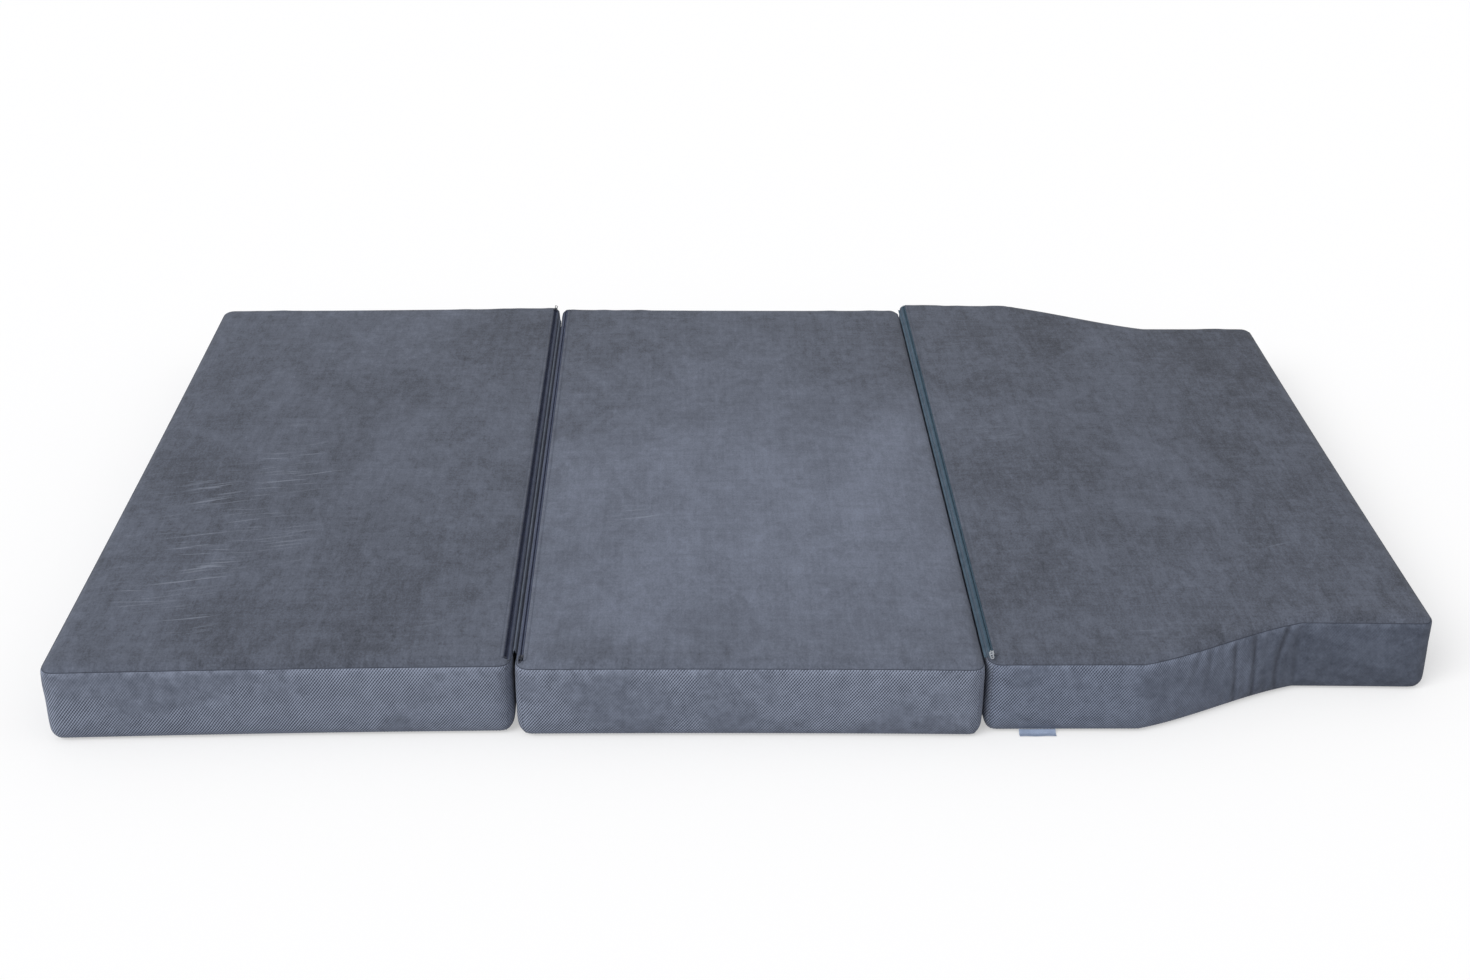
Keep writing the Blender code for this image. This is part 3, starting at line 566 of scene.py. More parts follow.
def zip_place(panel):
    """The zip's frame on the panel's shoulder: X across it towards the fold, Y along it, Z out of it."""
    reach = panel.rounds[panel.zip_side]
    along = panel.walls[panel.zip_side] - panel.zip_side * reach * (1 - math.sin(ZIP_LEAN))
    tilt = math.atan(TOP_ROUND / reach * math.tan(ZIP_LEAN))
    origin = (along, panel.middle + panel.lean(along), PANEL_HEIGHT - TOP_ROUND * (1 - math.cos(ZIP_LEAN)))
    turn = Matrix.Rotation(0 if panel.zip_side == RIGHT else math.pi, 4, "Z")
    return Matrix.Translation(origin) @ turn @ Matrix.Rotation(tilt, 4, "Y")


def slot_half_length(panel):
    return panel.width / 2 - ZIP_END_INSET


def open_slot(mesh, panel):
    """Cuts the zip's opening in the cover's shoulder, and takes out the cloth inside it."""
    place = zip_place(panel)
    inverse = place.inverted()
    across, lengthways = (place.to_3x3() @ Vector(v) for v in ((1, 0, 0), (0, 1, 0)))
    half_length = slot_half_length(panel)

    def faces_near(bm, margin):
        for face in bm.faces:
            p = inverse @ face.calc_center_median()
            if abs(p.x) < SLOT_HALF_WIDTH + margin and abs(p.y) < half_length + margin and abs(p.z) < SLOT_NEAR:
                yield face

    with editing(mesh) as bm:
        for side in (LEFT, RIGHT):
            for offset, normal in (((side * SLOT_HALF_WIDTH, 0, 0), across), ((0, side * half_length, 0), lengthways)):
                faces = list(faces_near(bm, SLOT_MARGIN))
                geom = {e for f in faces for e in f.edges} | {v for f in faces for v in f.verts} | set(faces)
                bmesh.ops.bisect_plane(bm, geom=list(geom), plane_co=place @ Vector(offset), plane_no=normal)
        bmesh.ops.delete(bm, geom=list(faces_near(bm, 0)), context="FACES")
        bmesh.ops.remove_doubles(bm, verts=bm.verts, dist=1e-5)
    return mesh


def strip_mesh(name, place, profile, half_length, narrowed=None):
    """A strip of one closed outline, swept along a zip's length, with closed ends. narrowed gives, for a place along
    it, how much of its width is left, measured from its first point."""
    ys = even(-half_length, half_length, STRIP_STEP)
    count = len(profile)
    first = Vector((profile[0][0], 0, profile[0][1]))
    points = []
    for y in ys:
        kept = narrowed(y) if narrowed else 1
        points += [place @ (first.lerp(Vector((u, 0, n)), kept) + Vector((0, y, 0))) for u, n in profile]
    faces, flat = [], []
    edge = steps_along([*profile, profile[0]])
    for row in range(len(ys) - 1):
        for i in range(count):
            a, b = row * count + i, row * count + (i + 1) % count
            faces.append((a, a + count, b + count, b))
            flat += [(ys[row], edge[i]), (ys[row + 1], edge[i]), (ys[row + 1], edge[i + 1]), (ys[row], edge[i + 1])]
    last = (len(ys) - 1) * count
    faces += [tuple(range(count)), tuple(range(last + count - 1, last - 1, -1))]
    flat += [(0, 0)] * (2 * count)
    mesh = mesh_of(name, points, faces, flat=flat)
    with editing(mesh) as bm:
        bmesh.ops.recalc_face_normals(bm, faces=bm.faces)
    return mesh


def smooth_copy(node, width):
    """A CAD node's shape with its edges rounded over."""
    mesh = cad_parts[node].data.copy()
    mesh.name = node
    with editing(mesh) as bm:
        bmesh.ops.remove_doubles(bm, verts=bm.verts, dist=1e-6)
        bmesh.ops.dissolve_limit(bm, angle_limit=math.radians(1), verts=bm.verts, edges=bm.edges)
    return modified(mesh, ("BEVEL", dict(width=width, segments=3, limit_method="ANGLE", angle_limit=math.radians(30))))


# ---- Node trees: rules that repeat a small shape ----

class Nodes:
    """Adds nodes to a tree, with their inputs set or linked, and gives their outputs."""

    def __init__(self, tree):
        self.tree = tree

    def add(self, kind, values=None, **settings):
        node = self.tree.nodes.new(kind)
        for key, value in settings.items():
            setattr(node, key, value)
        for key, value in (values or {}).items():
            self.give(node.inputs[key], value)
        return node.outputs

    def give(self, socket, value):
        if isinstance(value, bpy.types.NodeSocket):
            self.tree.links.new(value, socket)
        else:
            socket.default_value = value


class Rule(Nodes):
    """A Geometry Nodes tree with named inputs, which works along the curves that it is given as edges."""

    def __init__(self, name):
        super().__init__(bpy.data.node_groups.new(name, "GeometryNodeTree"))
        self.tree.interface.new_socket("Geometry", in_out="INPUT", socket_type="NodeSocketGeometry")
        self.tree.interface.new_socket("Geometry", in_out="OUTPUT", socket_type="NodeSocketGeometry")
        self.given = self.add("NodeGroupInput")
        self.curve = self.add("GeometryNodeMeshToCurve", {"Mesh": self.given["Geometry"]})["Curve"]

    def input(self, name, kind="NodeSocketFloat"):
        self.tree.interface.new_socket(name, in_out="INPUT", socket_type=kind)
        return self.given[name]

    def end(self, geometry, material):
        real = self.add("GeometryNodeRealizeInstances", {"Geometry": geometry})["Geometry"]
        done = self.add("GeometryNodeSetMaterial", {"Geometry": real, "Material": material})["Geometry"]
        smoothed = self.add("GeometryNodeSetShadeSmooth", {"Geometry": done})["Geometry"]
        self.tree.links.new(smoothed, self.tree.nodes.new("NodeGroupOutput").inputs["Geometry"])
        return self.tree

    def end_row(self, curve, spacing, segments, size, material):
        """A rounded bead at each step along the curve, turned along it and drawn out to a size."""
        spaced = self.add("GeometryNodeResampleCurve", {"Curve": curve, "Length": spacing}, mode="LENGTH")["Curve"]
        tangent = self.add("GeometryNodeInputTangent")["Tangent"]
        turned = self.add("FunctionNodeAlignEulerToVector", {"Vector": tangent}, axis="X")["Rotation"]
        bead = self.add("GeometryNodeMeshUVSphere", {"Segments": segments, "Rings": 4, "Radius": 0.5})["Mesh"]
        scale = self.add("ShaderNodeCombineXYZ", dict(zip("XYZ", size)))["Vector"]
        placed = self.add("GeometryNodeInstanceOnPoints",
                          {"Points": spaced, "Instance": bead, "Rotation": turned, "Scale": scale})["Instances"]
        return self.end(placed, material)


def stitch_rule():
    """Short rounded stitches laid end to end along a path, each sunk at its ends."""
    rule = Rule("row_of_stitches")
    spacing, length, thickness = (rule.input(name) for name in ("Spacing", "Stitch Length", "Thread Thickness"))
    material = rule.input("Thread", "NodeSocketMaterial")
    return rule.end_row(rule.curve, spacing, 6, (length, thickness, thickness), material)


def coil_rule():
    """A zip's row of moulded coil turns: rounded teeth side by side along a path, each longer across it."""
    rule = Rule("row_of_coil_turns")
    names = ("Pitch", "Tooth Width", "Tooth Height", "Start Offset")
    pitch, width, height, offset = (rule.input(name) for name in names)
    material = rule.input("Coil", "NodeSocketMaterial")
    length = rule.add("GeometryNodeCurveLength", {"Curve": rule.curve})["Length"]
    ends = {"Curve": rule.curve, "Start": offset, "End": length}
    trimmed = rule.add("GeometryNodeTrimCurve", ends, mode="LENGTH")["Curve"]
    thick = rule.add("ShaderNodeMath", {0: pitch, 1: 0.92}, operation="MULTIPLY")["Value"]
    return rule.end_row(trimmed, pitch, 8, (thick, width, height), material)


def hem_rule():
    """A rolled hem: a round profile swept along a path."""
    rule = Rule("rolled_hem")
    radius, material = rule.input("Radius"), rule.input("Cloth", "NodeSocketMaterial")
    ring = rule.add("GeometryNodeCurvePrimitiveCircle", {"Resolution": 8, "Radius": radius}, mode="RADIUS")["Curve"]
    swept = rule.add("GeometryNodeCurveToMesh", {"Curve": rule.curve, "Profile Curve": ring, "Fill Caps": True})["Mesh"]
    return rule.end(swept, material)


def add_by_rule(panel, part, paths, rule, inputs, slot, node=None):
    """A plain mesh piece that a rule makes along paths, each a list of points and whether it closes."""
    points, edges = [], []
    for path, closed in paths:
        first = len(points)
        points += [tuple(p) for p in path]
        edges += [(first + i, first + i + 1) for i in range(len(path) - 1)]
        if closed:
            edges.append((len(points) - 1, first))
    piece = add_piece(part, mesh_of(part, points, [], edges))
    step = piece.modifiers.new("rule", "NODES")
    step.node_group = RULES[rule]
    for item in RULES[rule].interface.items_tree:
        if item.item_type == "SOCKET" and item.in_out == "INPUT" and item.name in inputs:
            step[item.identifier] = inputs[item.name]
    mesh = settled_mesh(piece)
    mesh.name = part
    add_piece(f"{panel.name}_{part}", mesh, slot, panel.body, node)


# ---- Materials ----

def srgb(*values):
    """A colour given as seen on a screen, 0 to 255, as linear light."""
    shares = [value / 255 for value in values]
    return (*(s / 12.92 if s <= 0.04045 else ((s + 0.055) / 1.055) ** 2.4 for s in shares), 1.0)


class Paint(Nodes):
    """Adds nodes to a material's tree or a shader group's."""

    def feed(self, sockets, **values):
        """Sets or links sockets by name, with an underscore for each space."""
        for name, value in values.items():
            self.give(sockets[name.replace("_", " ")], value)

    def place(self):
        return self.add("ShaderNodeTexCoord")["Object"]

    def axis(self, vector, name):
        return self.add("ShaderNodeSeparateXYZ", {"Vector": vector})[name]

    def math(self, operation, *values):
        return self.add("ShaderNodeMath", dict(enumerate(values)), operation=operation)[0]

    def swayed(self, level, value, weight):
        """A level that goes up and down with how far a value is from one half."""
        return self.math("MULTIPLY_ADD", self.math("SUBTRACT", value, 0.5), weight, level)

    def vector(self, operation, *values, **scale):
        return self.add("ShaderNodeVectorMath", {**dict(enumerate(values)), **scale}, operation=operation)

    def mix(self, share, first, second):
        return self.add("ShaderNodeMix", {0: share, 6: first, 7: second}, data_type="RGBA")[2]

    def clamp(self, value):
        return self.add("ShaderNodeClamp", {"Value": value})[0]

    def ramp(self, value, low, high, bottom=0.0, top=1.0):
        return self.add("ShaderNodeMapRange", {0: value, 1: low, 2: high, 3: bottom, 4: top},
                        interpolation_type="SMOOTHSTEP")[0]

    def noise(self, vector, scale, detail=3.0, roughness=0.5, distortion=0.0):
        return self.add("ShaderNodeTexNoise", {
            "Vector": vector, "Scale": scale, "Detail": detail, "Roughness": roughness, "Distortion": distortion})[0]

    def mapped(self, vector, **values):
        return self.add("ShaderNodeMapping", {"Vector": vector, **values})[0]


class Effect(Paint):
    """A shader node group with named inputs, each a number or a kind of socket."""

    def __init__(self, name, **inputs):
        super().__init__(bpy.data.node_groups.new(name, "ShaderNodeTree"))
        for label, value in inputs.items():
            kind = value if isinstance(value, str) else "NodeSocketFloat"
            socket = self.tree.interface.new_socket(label.replace("_", " "), in_out="INPUT", socket_type=kind)
            if kind == "NodeSocketFloat":
                socket.default_value = value
        self.given = self.add("NodeGroupInput")

    def end(self, **outputs):
        """Puts values out under their names, and gives the group. The one named Color is a colour."""
        for label in outputs:
            kind = "NodeSocketColor" if label == "Color" else "NodeSocketFloat"
            self.tree.interface.new_socket(label, in_out="OUTPUT", socket_type=kind)
        self.feed(self.tree.nodes.new("NodeGroupOutput").inputs, **outputs)
        return self.tree


def brushed_nap():
    """Suede's brushed nap: broad patches, cloudy marks of all sizes, faint crossing lines and a fine grain."""
    paint = Effect("brushed_nap", Dark="NodeSocketColor", Light="NodeSocketColor", Lightness=0.4, Patch_Strength=0.5,
                   Line_Strength=0.3)
    given, place = paint.given, paint.place()
    brushed = paint.mapped(place, Scale=(1.0, 0.55, 1.0))
    broad = paint.noise(brushed, 5.0, 6.0, 0.60, 0.5)
    marks = paint.ramp(paint.noise(brushed, 19.0, 5.0, 0.66, 0.9), 0.40, 0.62)
    blot = paint.noise(brushed, 75.0, 4.0, 0.7, 0.3)
    along, up = (paint.noise(paint.mapped(place, Scale=size), 1.0, 2.0, 0.5)
                 for size in ((9.0, 130.0, 1.0), (210.0, 6.0, 1.0)))
    grain = paint.noise(brushed, 420.0, 3.0, 0.75)
    lines = paint.math("SUBTRACT", paint.math("ADD", along, up), 1.0)
    level = paint.swayed(given["Lightness"], broad, paint.math("MULTIPLY", given["Patch Strength"], 1.15))
    level = paint.swayed(level, marks, paint.math("MULTIPLY", given["Patch Strength"], 0.20))
    level = paint.swayed(level, blot, 0.62)
    level = paint.math("MULTIPLY_ADD", lines, given["Line Strength"], level)
    level = paint.clamp(paint.swayed(level, grain, 0.85))
    return paint.end(Color=paint.mix(level, given["Dark"], given["Light"]),
                     Height=paint.math("MULTIPLY_ADD", blot, 0.8, grain),
                     Roughness=paint.ramp(level, 0.0, 1.0, 0.97, 0.86))


def dotted_twill():
    """A woven cloth's raised dots in slanting rows, over the cloth's flat place."""
    paint = Effect("dotted_twill", Pitch_Along=0.004, Pitch_Up=0.005, Softness=0.5)
    flat = paint.add("ShaderNodeUVMap", uv_map="cloth")["UV"]
    along = paint.math("DIVIDE", paint.axis(flat, "X"), paint.given["Pitch Along"])
    up = paint.math("DIVIDE", paint.axis(flat, "Y"), paint.given["Pitch Up"])
    wobble = paint.math("MULTIPLY_ADD", paint.noise(flat, 40.0, 2.0), 0.25, -0.125)
    rising, falling = (
        paint.math("COSINE", paint.math("MULTIPLY", paint.math("ADD", paint.math(way, along, up), wobble), 2 * math.pi))
        for way in ("SUBTRACT", "ADD"))
    both = paint.math("MULTIPLY_ADD", rising, 0.66, paint.math("MULTIPLY", falling, 0.34))
    dots = paint.ramp(both, -0.9, 1.0)
    thread = paint.noise(paint.mapped(flat, Scale=(2600.0, 900.0, 1.0)), 1.0, 1.0)
    return paint.end(Dots=dots, Height=paint.math("MULTIPLY_ADD", thread, paint.given["Softness"], dots))


def worn_patches():
    """Patches where a cloth's weave shows more or less, and a finer cloudy tone."""
    paint = Effect("worn_patches", Size=5.0, Low=0.35, High=0.65)
    place = paint.place()
    large = paint.noise(place, paint.given["Size"], 5.0, 0.6, 0.4)
    return paint.end(Mask=paint.ramp(large, paint.given["Low"], paint.given["High"]),
                     Tone=paint.noise(place, 62.0, 5.0, 0.7))


def pale_strokes():
    """Thin pale hair-like strokes in the nap, most of them in a strip about one place."""
    paint = Effect("pale_strokes", Amount=0.5, Centre="NodeSocketVector", Reach=0.3)
    place = paint.place()
    drift = paint.add("ShaderNodeTexNoise", {"Vector": place, "Scale": 6.0})[1]
    bent = paint.vector("ADD", place, paint.vector("SCALE", drift, Scale=0.035)[0])[0]
    layers = []
    for slant, size, low in ((-0.22, (8.0, 165.0, 1.0), 0.60), (-0.10, (12.0, 210.0, 1.0), 0.63)):
        slanted = paint.mapped(paint.mapped(bent, Rotation=(0, 0, slant)), Scale=size)
        layers.append(paint.ramp(paint.noise(slanted, 1.0, 1.0), low, low + 0.15))
    off = paint.mapped(paint.vector("SUBTRACT", place, paint.given["Centre"])[0], Scale=(1.0, 0.35, 1.0))
    share = paint.math("DIVIDE", paint.vector("LENGTH", off)["Value"], paint.given["Reach"])
    near = paint.math("MAXIMUM", paint.math("SUBTRACT", 1.0, share), 0.0)
    zone = paint.math("MULTIPLY_ADD", near, 0.46, paint.noise(place, 8.0, 2.0))
    sparse = paint.math("MULTIPLY", paint.math("MAXIMUM", *layers), paint.ramp(zone, 0.60, 0.82))
    return paint.end(Mask=paint.math("MULTIPLY", sparse, paint.given["Amount"]))


class Surface(Paint):
    """A new material, painted through the inputs of its shader."""

    def __init__(self, name, roughness=0.9, metallic=0.0, **values):
        self.material = bpy.data.materials.new(name)
        self.material.use_nodes = True
        super().__init__(self.material.node_tree)
        self.shader = self.tree.nodes["Principled BSDF"].inputs
        self.set(Roughness=roughness, Metallic=metallic, **values)

    def set(self, **values):
        self.feed(self.shader, **values)

    def use(self, effect, **values):
        node = self.tree.nodes.new("ShaderNodeGroup")
        node.node_tree = EFFECTS[effect]
        self.feed(node.inputs, **values)
        return node.outputs

    def end(self, height, strength, distance):
        """Raises the surface by a height, and gives the material."""
        self.set(Normal=self.add("ShaderNodeBump", {"Height": height, "Strength": strength, "Distance": distance})[0])
        return self.material


SHEEN = dict(Sheen_Weight=0.08, Sheen_Roughness=0.45, Specular_IOR_Level=0.12)
SUEDE_DARK, SUEDE_LIGHT, STROKE = srgb(63, 66, 74), srgb(117, 124, 140), srgb(150, 158, 172)
# CREASE_SHADE is the colour of the painted shade deep in the creases.
CREASE_SHADE, FOAM_DARK, FOAM_LIGHT = srgb(52, 54, 62), srgb(196, 184, 142), srgb(232, 222, 186)


def suede(name, lightness, stroked, painted_light_from=None):
    """A panel's suede top. stroked is where most of its pale strokes are. painted_light_from gives a centre, a reach
    and a gain for painted light: a paler patch where the nap lies the other way and catches the light."""
    paint = Surface(name, **SHEEN)
    level = lightness
    # Painted light: a paler patch round a centre, where the nap lies the other way and catches the light.
    if painted_light_from:
        (x, y), reach, gain = painted_light_from
        place = paint.place()
        off = paint.mapped(place, Location=(-x, -y, 0), Scale=(1.0, 1.0, 0.0))
        far = paint.swayed(paint.vector("LENGTH", off)["Value"], paint.noise(place, 2.6, 4.0, 0.6, 0.5), 0.9 * reach)
        level = paint.math("ADD", paint.ramp(far, 0.0, reach, gain, 0.0), lightness)
    nap = paint.use("nap", Dark=SUEDE_DARK, Light=SUEDE_LIGHT, Lightness=level, Patch_Strength=0.62, Line_Strength=0.22)
    strokes = paint.use("strokes", Amount=0.39, Centre=stroked, Reach=0.19)
    paint.set(Base_Color=paint.mix(strokes["Mask"], nap["Color"], STROKE), Roughness=nap["Roughness"])
    return paint.end(nap["Height"], 0.30, 0.0012)


def woven(name, dark, light, pitch, depth=0.6, patch_size=5.0, shaded_from=None, highlight_from=None):
    """A woven cloth with slanting dots, stronger in some patches than in others. shaded_from gives the places along the
    part between which painted shade darkens it and its weave fades; painted shade also darkens it in creases.
    highlight_from gives the heights between which a painted highlight makes it paler along its rounded top edge."""
    paint = Surface(name, **SHEEN)
    weave = paint.use("twill", Pitch_Along=pitch[0], Pitch_Up=pitch[1])
    patch = paint.use("patches", Size=patch_size, Low=0.42, High=0.58)
    seen = paint.math("MULTIPLY_ADD", patch["Mask"], depth, 0.15 * depth)
    # Painted shade: towards its narrow end the band darkens and its weave fades.
    if shaded_from:
        along = paint.axis(paint.place(), "X")
        wall_shade = paint.ramp(along, *shaded_from)
        seen = paint.math("MULTIPLY", seen, paint.math("MULTIPLY_ADD", wall_shade, -0.85, 1.0))
    tone = paint.swayed(0.5, weave["Dots"], seen)
    tone = paint.swayed(tone, patch["Tone"], 0.85)
    tone = paint.swayed(tone, patch["Mask"], 0.20)
    # Painted highlight: the band grows paler, in patches, towards its rounded top edge.
    if highlight_from:
        edge = paint.ramp(paint.axis(paint.place(), "Z"), *highlight_from)
        tone = paint.math("ADD", tone, paint.math("MULTIPLY", edge, paint.ramp(patch["Tone"], 0.30, 0.62, 0.02, 0.18)))
    tone = paint.clamp(tone)
    colour = paint.mix(tone, srgb(*dark), srgb(*light))
    # More painted shade, mottled with fine noise, where the band darkens towards its narrow end.
    if shaded_from:
        fine = paint.math("MULTIPLY_ADD", paint.noise(paint.place(), 300.0, 3.0, 0.7), 0.5, 0.62)
        fine = paint.math("MULTIPLY", fine, paint.ramp(along, shaded_from[1], shaded_from[1] + 0.07, 0.92, 0.76))
        colour = paint.mix(wall_shade, colour, paint.vector("SCALE", colour, Scale=fine)[0])
        # Painted shade: the cloth darkens towards CREASE_SHADE deep in each crease.
        crease = paint.add("ShaderNodeAttribute", attribute_name="crease")["Fac"]
        colour = paint.mix(paint.math("MULTIPLY", crease, 0.62), colour, CREASE_SHADE)
    paint.set(Base_Color=colour, Roughness=paint.ramp(tone, 0.0, 1.0, 0.95, 0.84))
    return paint.end(weave["Height"], 0.45, 0.0004)


def moulded(name, dark, light, roughness):
    """Moulded nylon or enamel, with slight variation and rubbed patches."""
    paint = Surface(name, roughness, Specular_IOR_Level=0.15)
    patch = paint.use("patches", Size=90.0)
    paint.set(Base_Color=paint.mix(patch["Tone"], srgb(*dark), srgb(*light)),
              Roughness=paint.ramp(patch["Mask"], 0, 1, roughness * 0.85, min(1.0, roughness * 1.2)))
    return paint.end(patch["Tone"], 0.1, 0.0002)


def metal(name, dark, light, roughness):
    """Plated metal, duller and darker where it is handled."""
    paint = Surface(name, roughness, 1.0)
    patch = paint.use("patches", Size=160.0)
    paint.set(Base_Color=paint.mix(patch["Tone"], srgb(*dark), srgb(*light)),
              Roughness=paint.ramp(patch["Tone"], 0.3, 0.7, roughness * 0.7, roughness * 1.4))
    return paint.end(patch["Tone"], 0.12, 0.0001)


def foam_rubber(name):
    """Open-cell foam: a pale cut surface with fine pores."""
    paint = Surface(name, 0.95)
    cells = paint.add("ShaderNodeTexVoronoi", {"Vector": paint.place(), "Scale": 700.0})["Distance"]
    patch = paint.use("patches", Size=9.0)
    tone = paint.math("MULTIPLY_ADD", cells, 0.6, paint.math("MULTIPLY", patch["Tone"], 0.6))
    paint.set(Base_Color=paint.mix(tone, FOAM_DARK, FOAM_LIGHT))
    return paint.end(cells, 0.6, 0.0006)


def make_looks():
    """Every material, under the word that the pieces ask for it by."""
    # The bands get a painted highlight along their rounded top edge.
    band = dict(pitch=(0.0041, 0.0054), depth=1.3, patch_size=4.5, highlight_from=(0.098, 0.108))
    tape = dict(pitch=(0.0016, 0.0010), depth=0.9, patch_size=30.0)
    return {
        "left_top": suede("suede_left", 0.36, (-0.765, -0.24, 0.12)),
        # The middle top has a patch of painted light towards its front.
        "middle_top": suede("suede_middle", 0.33, (0.1, 0.3, 0.6), ((-0.02, -0.20), 0.78, 0.43)),
        "right_top": suede("suede_right", 0.29, (0.7, 0.2, 0.6)),
        "band": woven("twill_band", (66, 71, 82), (142, 150, 168), **band),
        # The right panel's band is a darker copy of the band, with painted shade along its tapered and narrow walls.
        "shaded_right_band": woven("twill_right_band", (60, 65, 77), (132, 141, 160), shaded_from=(0.34, 0.72), **band),
        "base": woven("twill_base", (66, 70, 80), (98, 103, 114), (0.0030, 0.0030), 0.8),
        "navy_tape": woven("tape_navy", (56, 62, 82), (96, 104, 126), **tape),
        "teal_tape": woven("tape_teal", (54, 72, 86), (90, 110, 126), **tape),
        "navy_coil": moulded("coil_navy", (18, 22, 36), (40, 47, 68), 0.45),
        "faded_coil": moulded("coil_faded", (58, 64, 82), (88, 95, 115), 0.6),
        "teal_coil": moulded("coil_teal", (40, 58, 70), (76, 98, 114), 0.45),
        "thread": moulded("thread_grey", (74, 79, 92), (108, 115, 130), 0.7),
        # The top seam's dark cord takes this colour as painted shade.
        "seam": moulded("seam_shade", (54, 58, 68), (76, 81, 93), 0.9),
        "hinge": woven("twill_hinge", (62, 68, 80), (104, 112, 128), (0.0030, 0.0030), 0.7, 12.0),
        "label": woven("label_satin", (122, 136, 160), (168, 182, 206), (0.0016, 0.0016), 0.8, 40.0),
        "silver": metal("plated_silver", (112, 117, 126), (196, 200, 206), 0.30),
        "dark": metal("plated_dark", (30, 33, 42), (70, 74, 86), 0.4),
        "foam": foam_rubber("open_cell_foam"),
    }


EFFECTS = {"nap": brushed_nap(), "twill": dotted_twill(), "patches": worn_patches(), "strokes": pale_strokes()}
LOOKS = make_looks()
RULES = {"stitches": stitch_rule(), "coil": coil_rule(), "hem": hem_rule()}


# ---- The pieces of a panel ----

SIDE_PIECES = {
    "left": {"left_right_wall": ("right_wall",), "left_side_band": ("front", "back", "left_wall")},
    "middle": {
        "middle_left_wall": ("left_wall",), "middle_right_wall": ("right_wall",),
        "middle_front_band": ("front",), "middle_back_band": ("back",),
    },
    "right": {"right_left_wall": ("left_wall",), "right_side_band": ("front", "back", "right_wall")},
}
FINER = ("SUBSURF", dict(levels=1, render_levels=1, boundary_smooth="PRESERVE_CORNERS"))
CLOTH_WALL = ("SOLIDIFY", dict(thickness=COVER_THICKNESS, offset=-1, use_even_offset=False))


def add_soft(name, node, mesh, look, slot, panel, fill=COVER_FILL):
    piece = add_piece(name, finish_surface(mesh, LOOKS[look]), slot, panel.body, node)


def add_covers(panel, form, points):
    name = panel.name
    top = modified(form.mesh(name + "_top", points, ("top",)), FINER)
    top = modified(open_slot(top, panel), CLOTH_WALL)
    add_soft(f"{name}_cover_top_cloth", f"{name}_cover_top", top, name + "_top", "suede_top", panel)
    for node, labels in {f"{name}_cover_base": ("base",), **SIDE_PIECES[name]}.items():
        mesh = modified(form.mesh(node, points, labels), FINER, CLOTH_WALL)
        look, slot = ("base", "woven_base") if labels == ("base",) else ("band", "woven_side")
        look = "shaded_right_band" if node == "right_side_band" else look
        add_soft(node + "_cloth", node, mesh, look, slot, panel)


def add_core(panel):
    """The foam block under the cover, bevelled under the zip."""
    form = Lattice(panel, CORE_INSET, CORE_SEAT, coarse=True)
    place = zip_place(panel)
    normal = np.array(place.to_3x3() @ Vector((0, 0, 1)))
    origin = np.array(place @ Vector((0, 0, -CORE_BEVEL_DEPTH)))
    over = np.maximum((form.points - origin) @ normal, 0)
    mesh = modified(mesh_of(panel.name + "_foam", form.points - over[:, None] * normal, form.faces), FINER)
    add_soft(f"{panel.name}_foam_block", f"{panel.name}_foam_core", mesh, "foam", "foam", panel, FOAM_FILL)


def add_seams(panel, form, points):
    """The sewing thread that shows in the covers' seams, and a thin dark cord in the top seam that paints the seam's
    shade.
    """
    normals = outward(points, np.array(form.faces))
    lifted = points + normals * LIFT
    top, base = form.loop(form.seam_level), form.loop(0)
    paths = [(lifted[top], True), ((points - normals * BASE_STITCH_DEPTH)[base], True)]
    paths += [(lifted[seam], False) for seam in form.corner_seams()]
    add_by_rule(panel, "seam_stitches", paths, "stitches", {**SEAM_STITCHES, "Thread": LOOKS["thread"]}, "woven_side")
    # Painted shade: a thin dark cord along the top seam stands for the shadow in its groove.
    sizes = {"Radius": SEAM_SHADE_RADIUS, "Cloth": LOOKS["seam"]}
    add_by_rule(panel, "seam_shade_line", [(lifted[top], True)], "hem", sizes, "woven_side")


def slot_outline(place, half_width, half_length, depth_at):
    """A rounded outline round a zip's opening, at a depth given for each place across the zip and along it."""
    path = []
    for cx, cy, first in ((1, -1, -90), (1, 1, 0), (-1, 1, 90), (-1, -1, 180)):
        centre = (cx * (half_width - HEM_CORNER), cy * (half_length - HEM_CORNER))
        for angle in (0, 30, 60, 90):
            turn = math.radians(first + angle)
            u, y = centre[0] + HEM_CORNER * math.cos(turn), centre[1] + HEM_CORNER * math.sin(turn)
            path.append(place @ Vector((u, y, depth_at(u, y) + LIFT)))
    full = []
    for here, there in zip(path, path[1:] + path[:1]):
        count = max(1, round((there - here).length / STRIP_STEP))
        full += [here.lerp(there, step / count) for step in range(count)]
    return full


def shoulder_depth(panel):
    """How far the cover's surface lies under the zip's plane, at a place across the zip and along it."""
    reach = panel.rounds[panel.zip_side]
    inverse = zip_place(panel).inverted()
    places, depths = [], []
    for angle in np.radians(np.linspace(2, 80, 60)):
        x = panel.walls[panel.zip_side] - panel.zip_side * reach * (1 - math.sin(angle))
        point = inverse @ Vector((x, panel.middle, PANEL_HEIGHT - TOP_ROUND * (1 - math.cos(angle))))
        places.append(point.x)
        depths.append(point.z)
    straight = panel.width / 2 - CORNER_ROUND

    def depth(u, y=0):
        past = max(0.0, abs(y) - straight)
        return float(np.interp(u, places, depths)) - (CORNER_ROUND - math.sqrt(CORNER_ROUND ** 2 - past ** 2)) * 0.8

    return depth


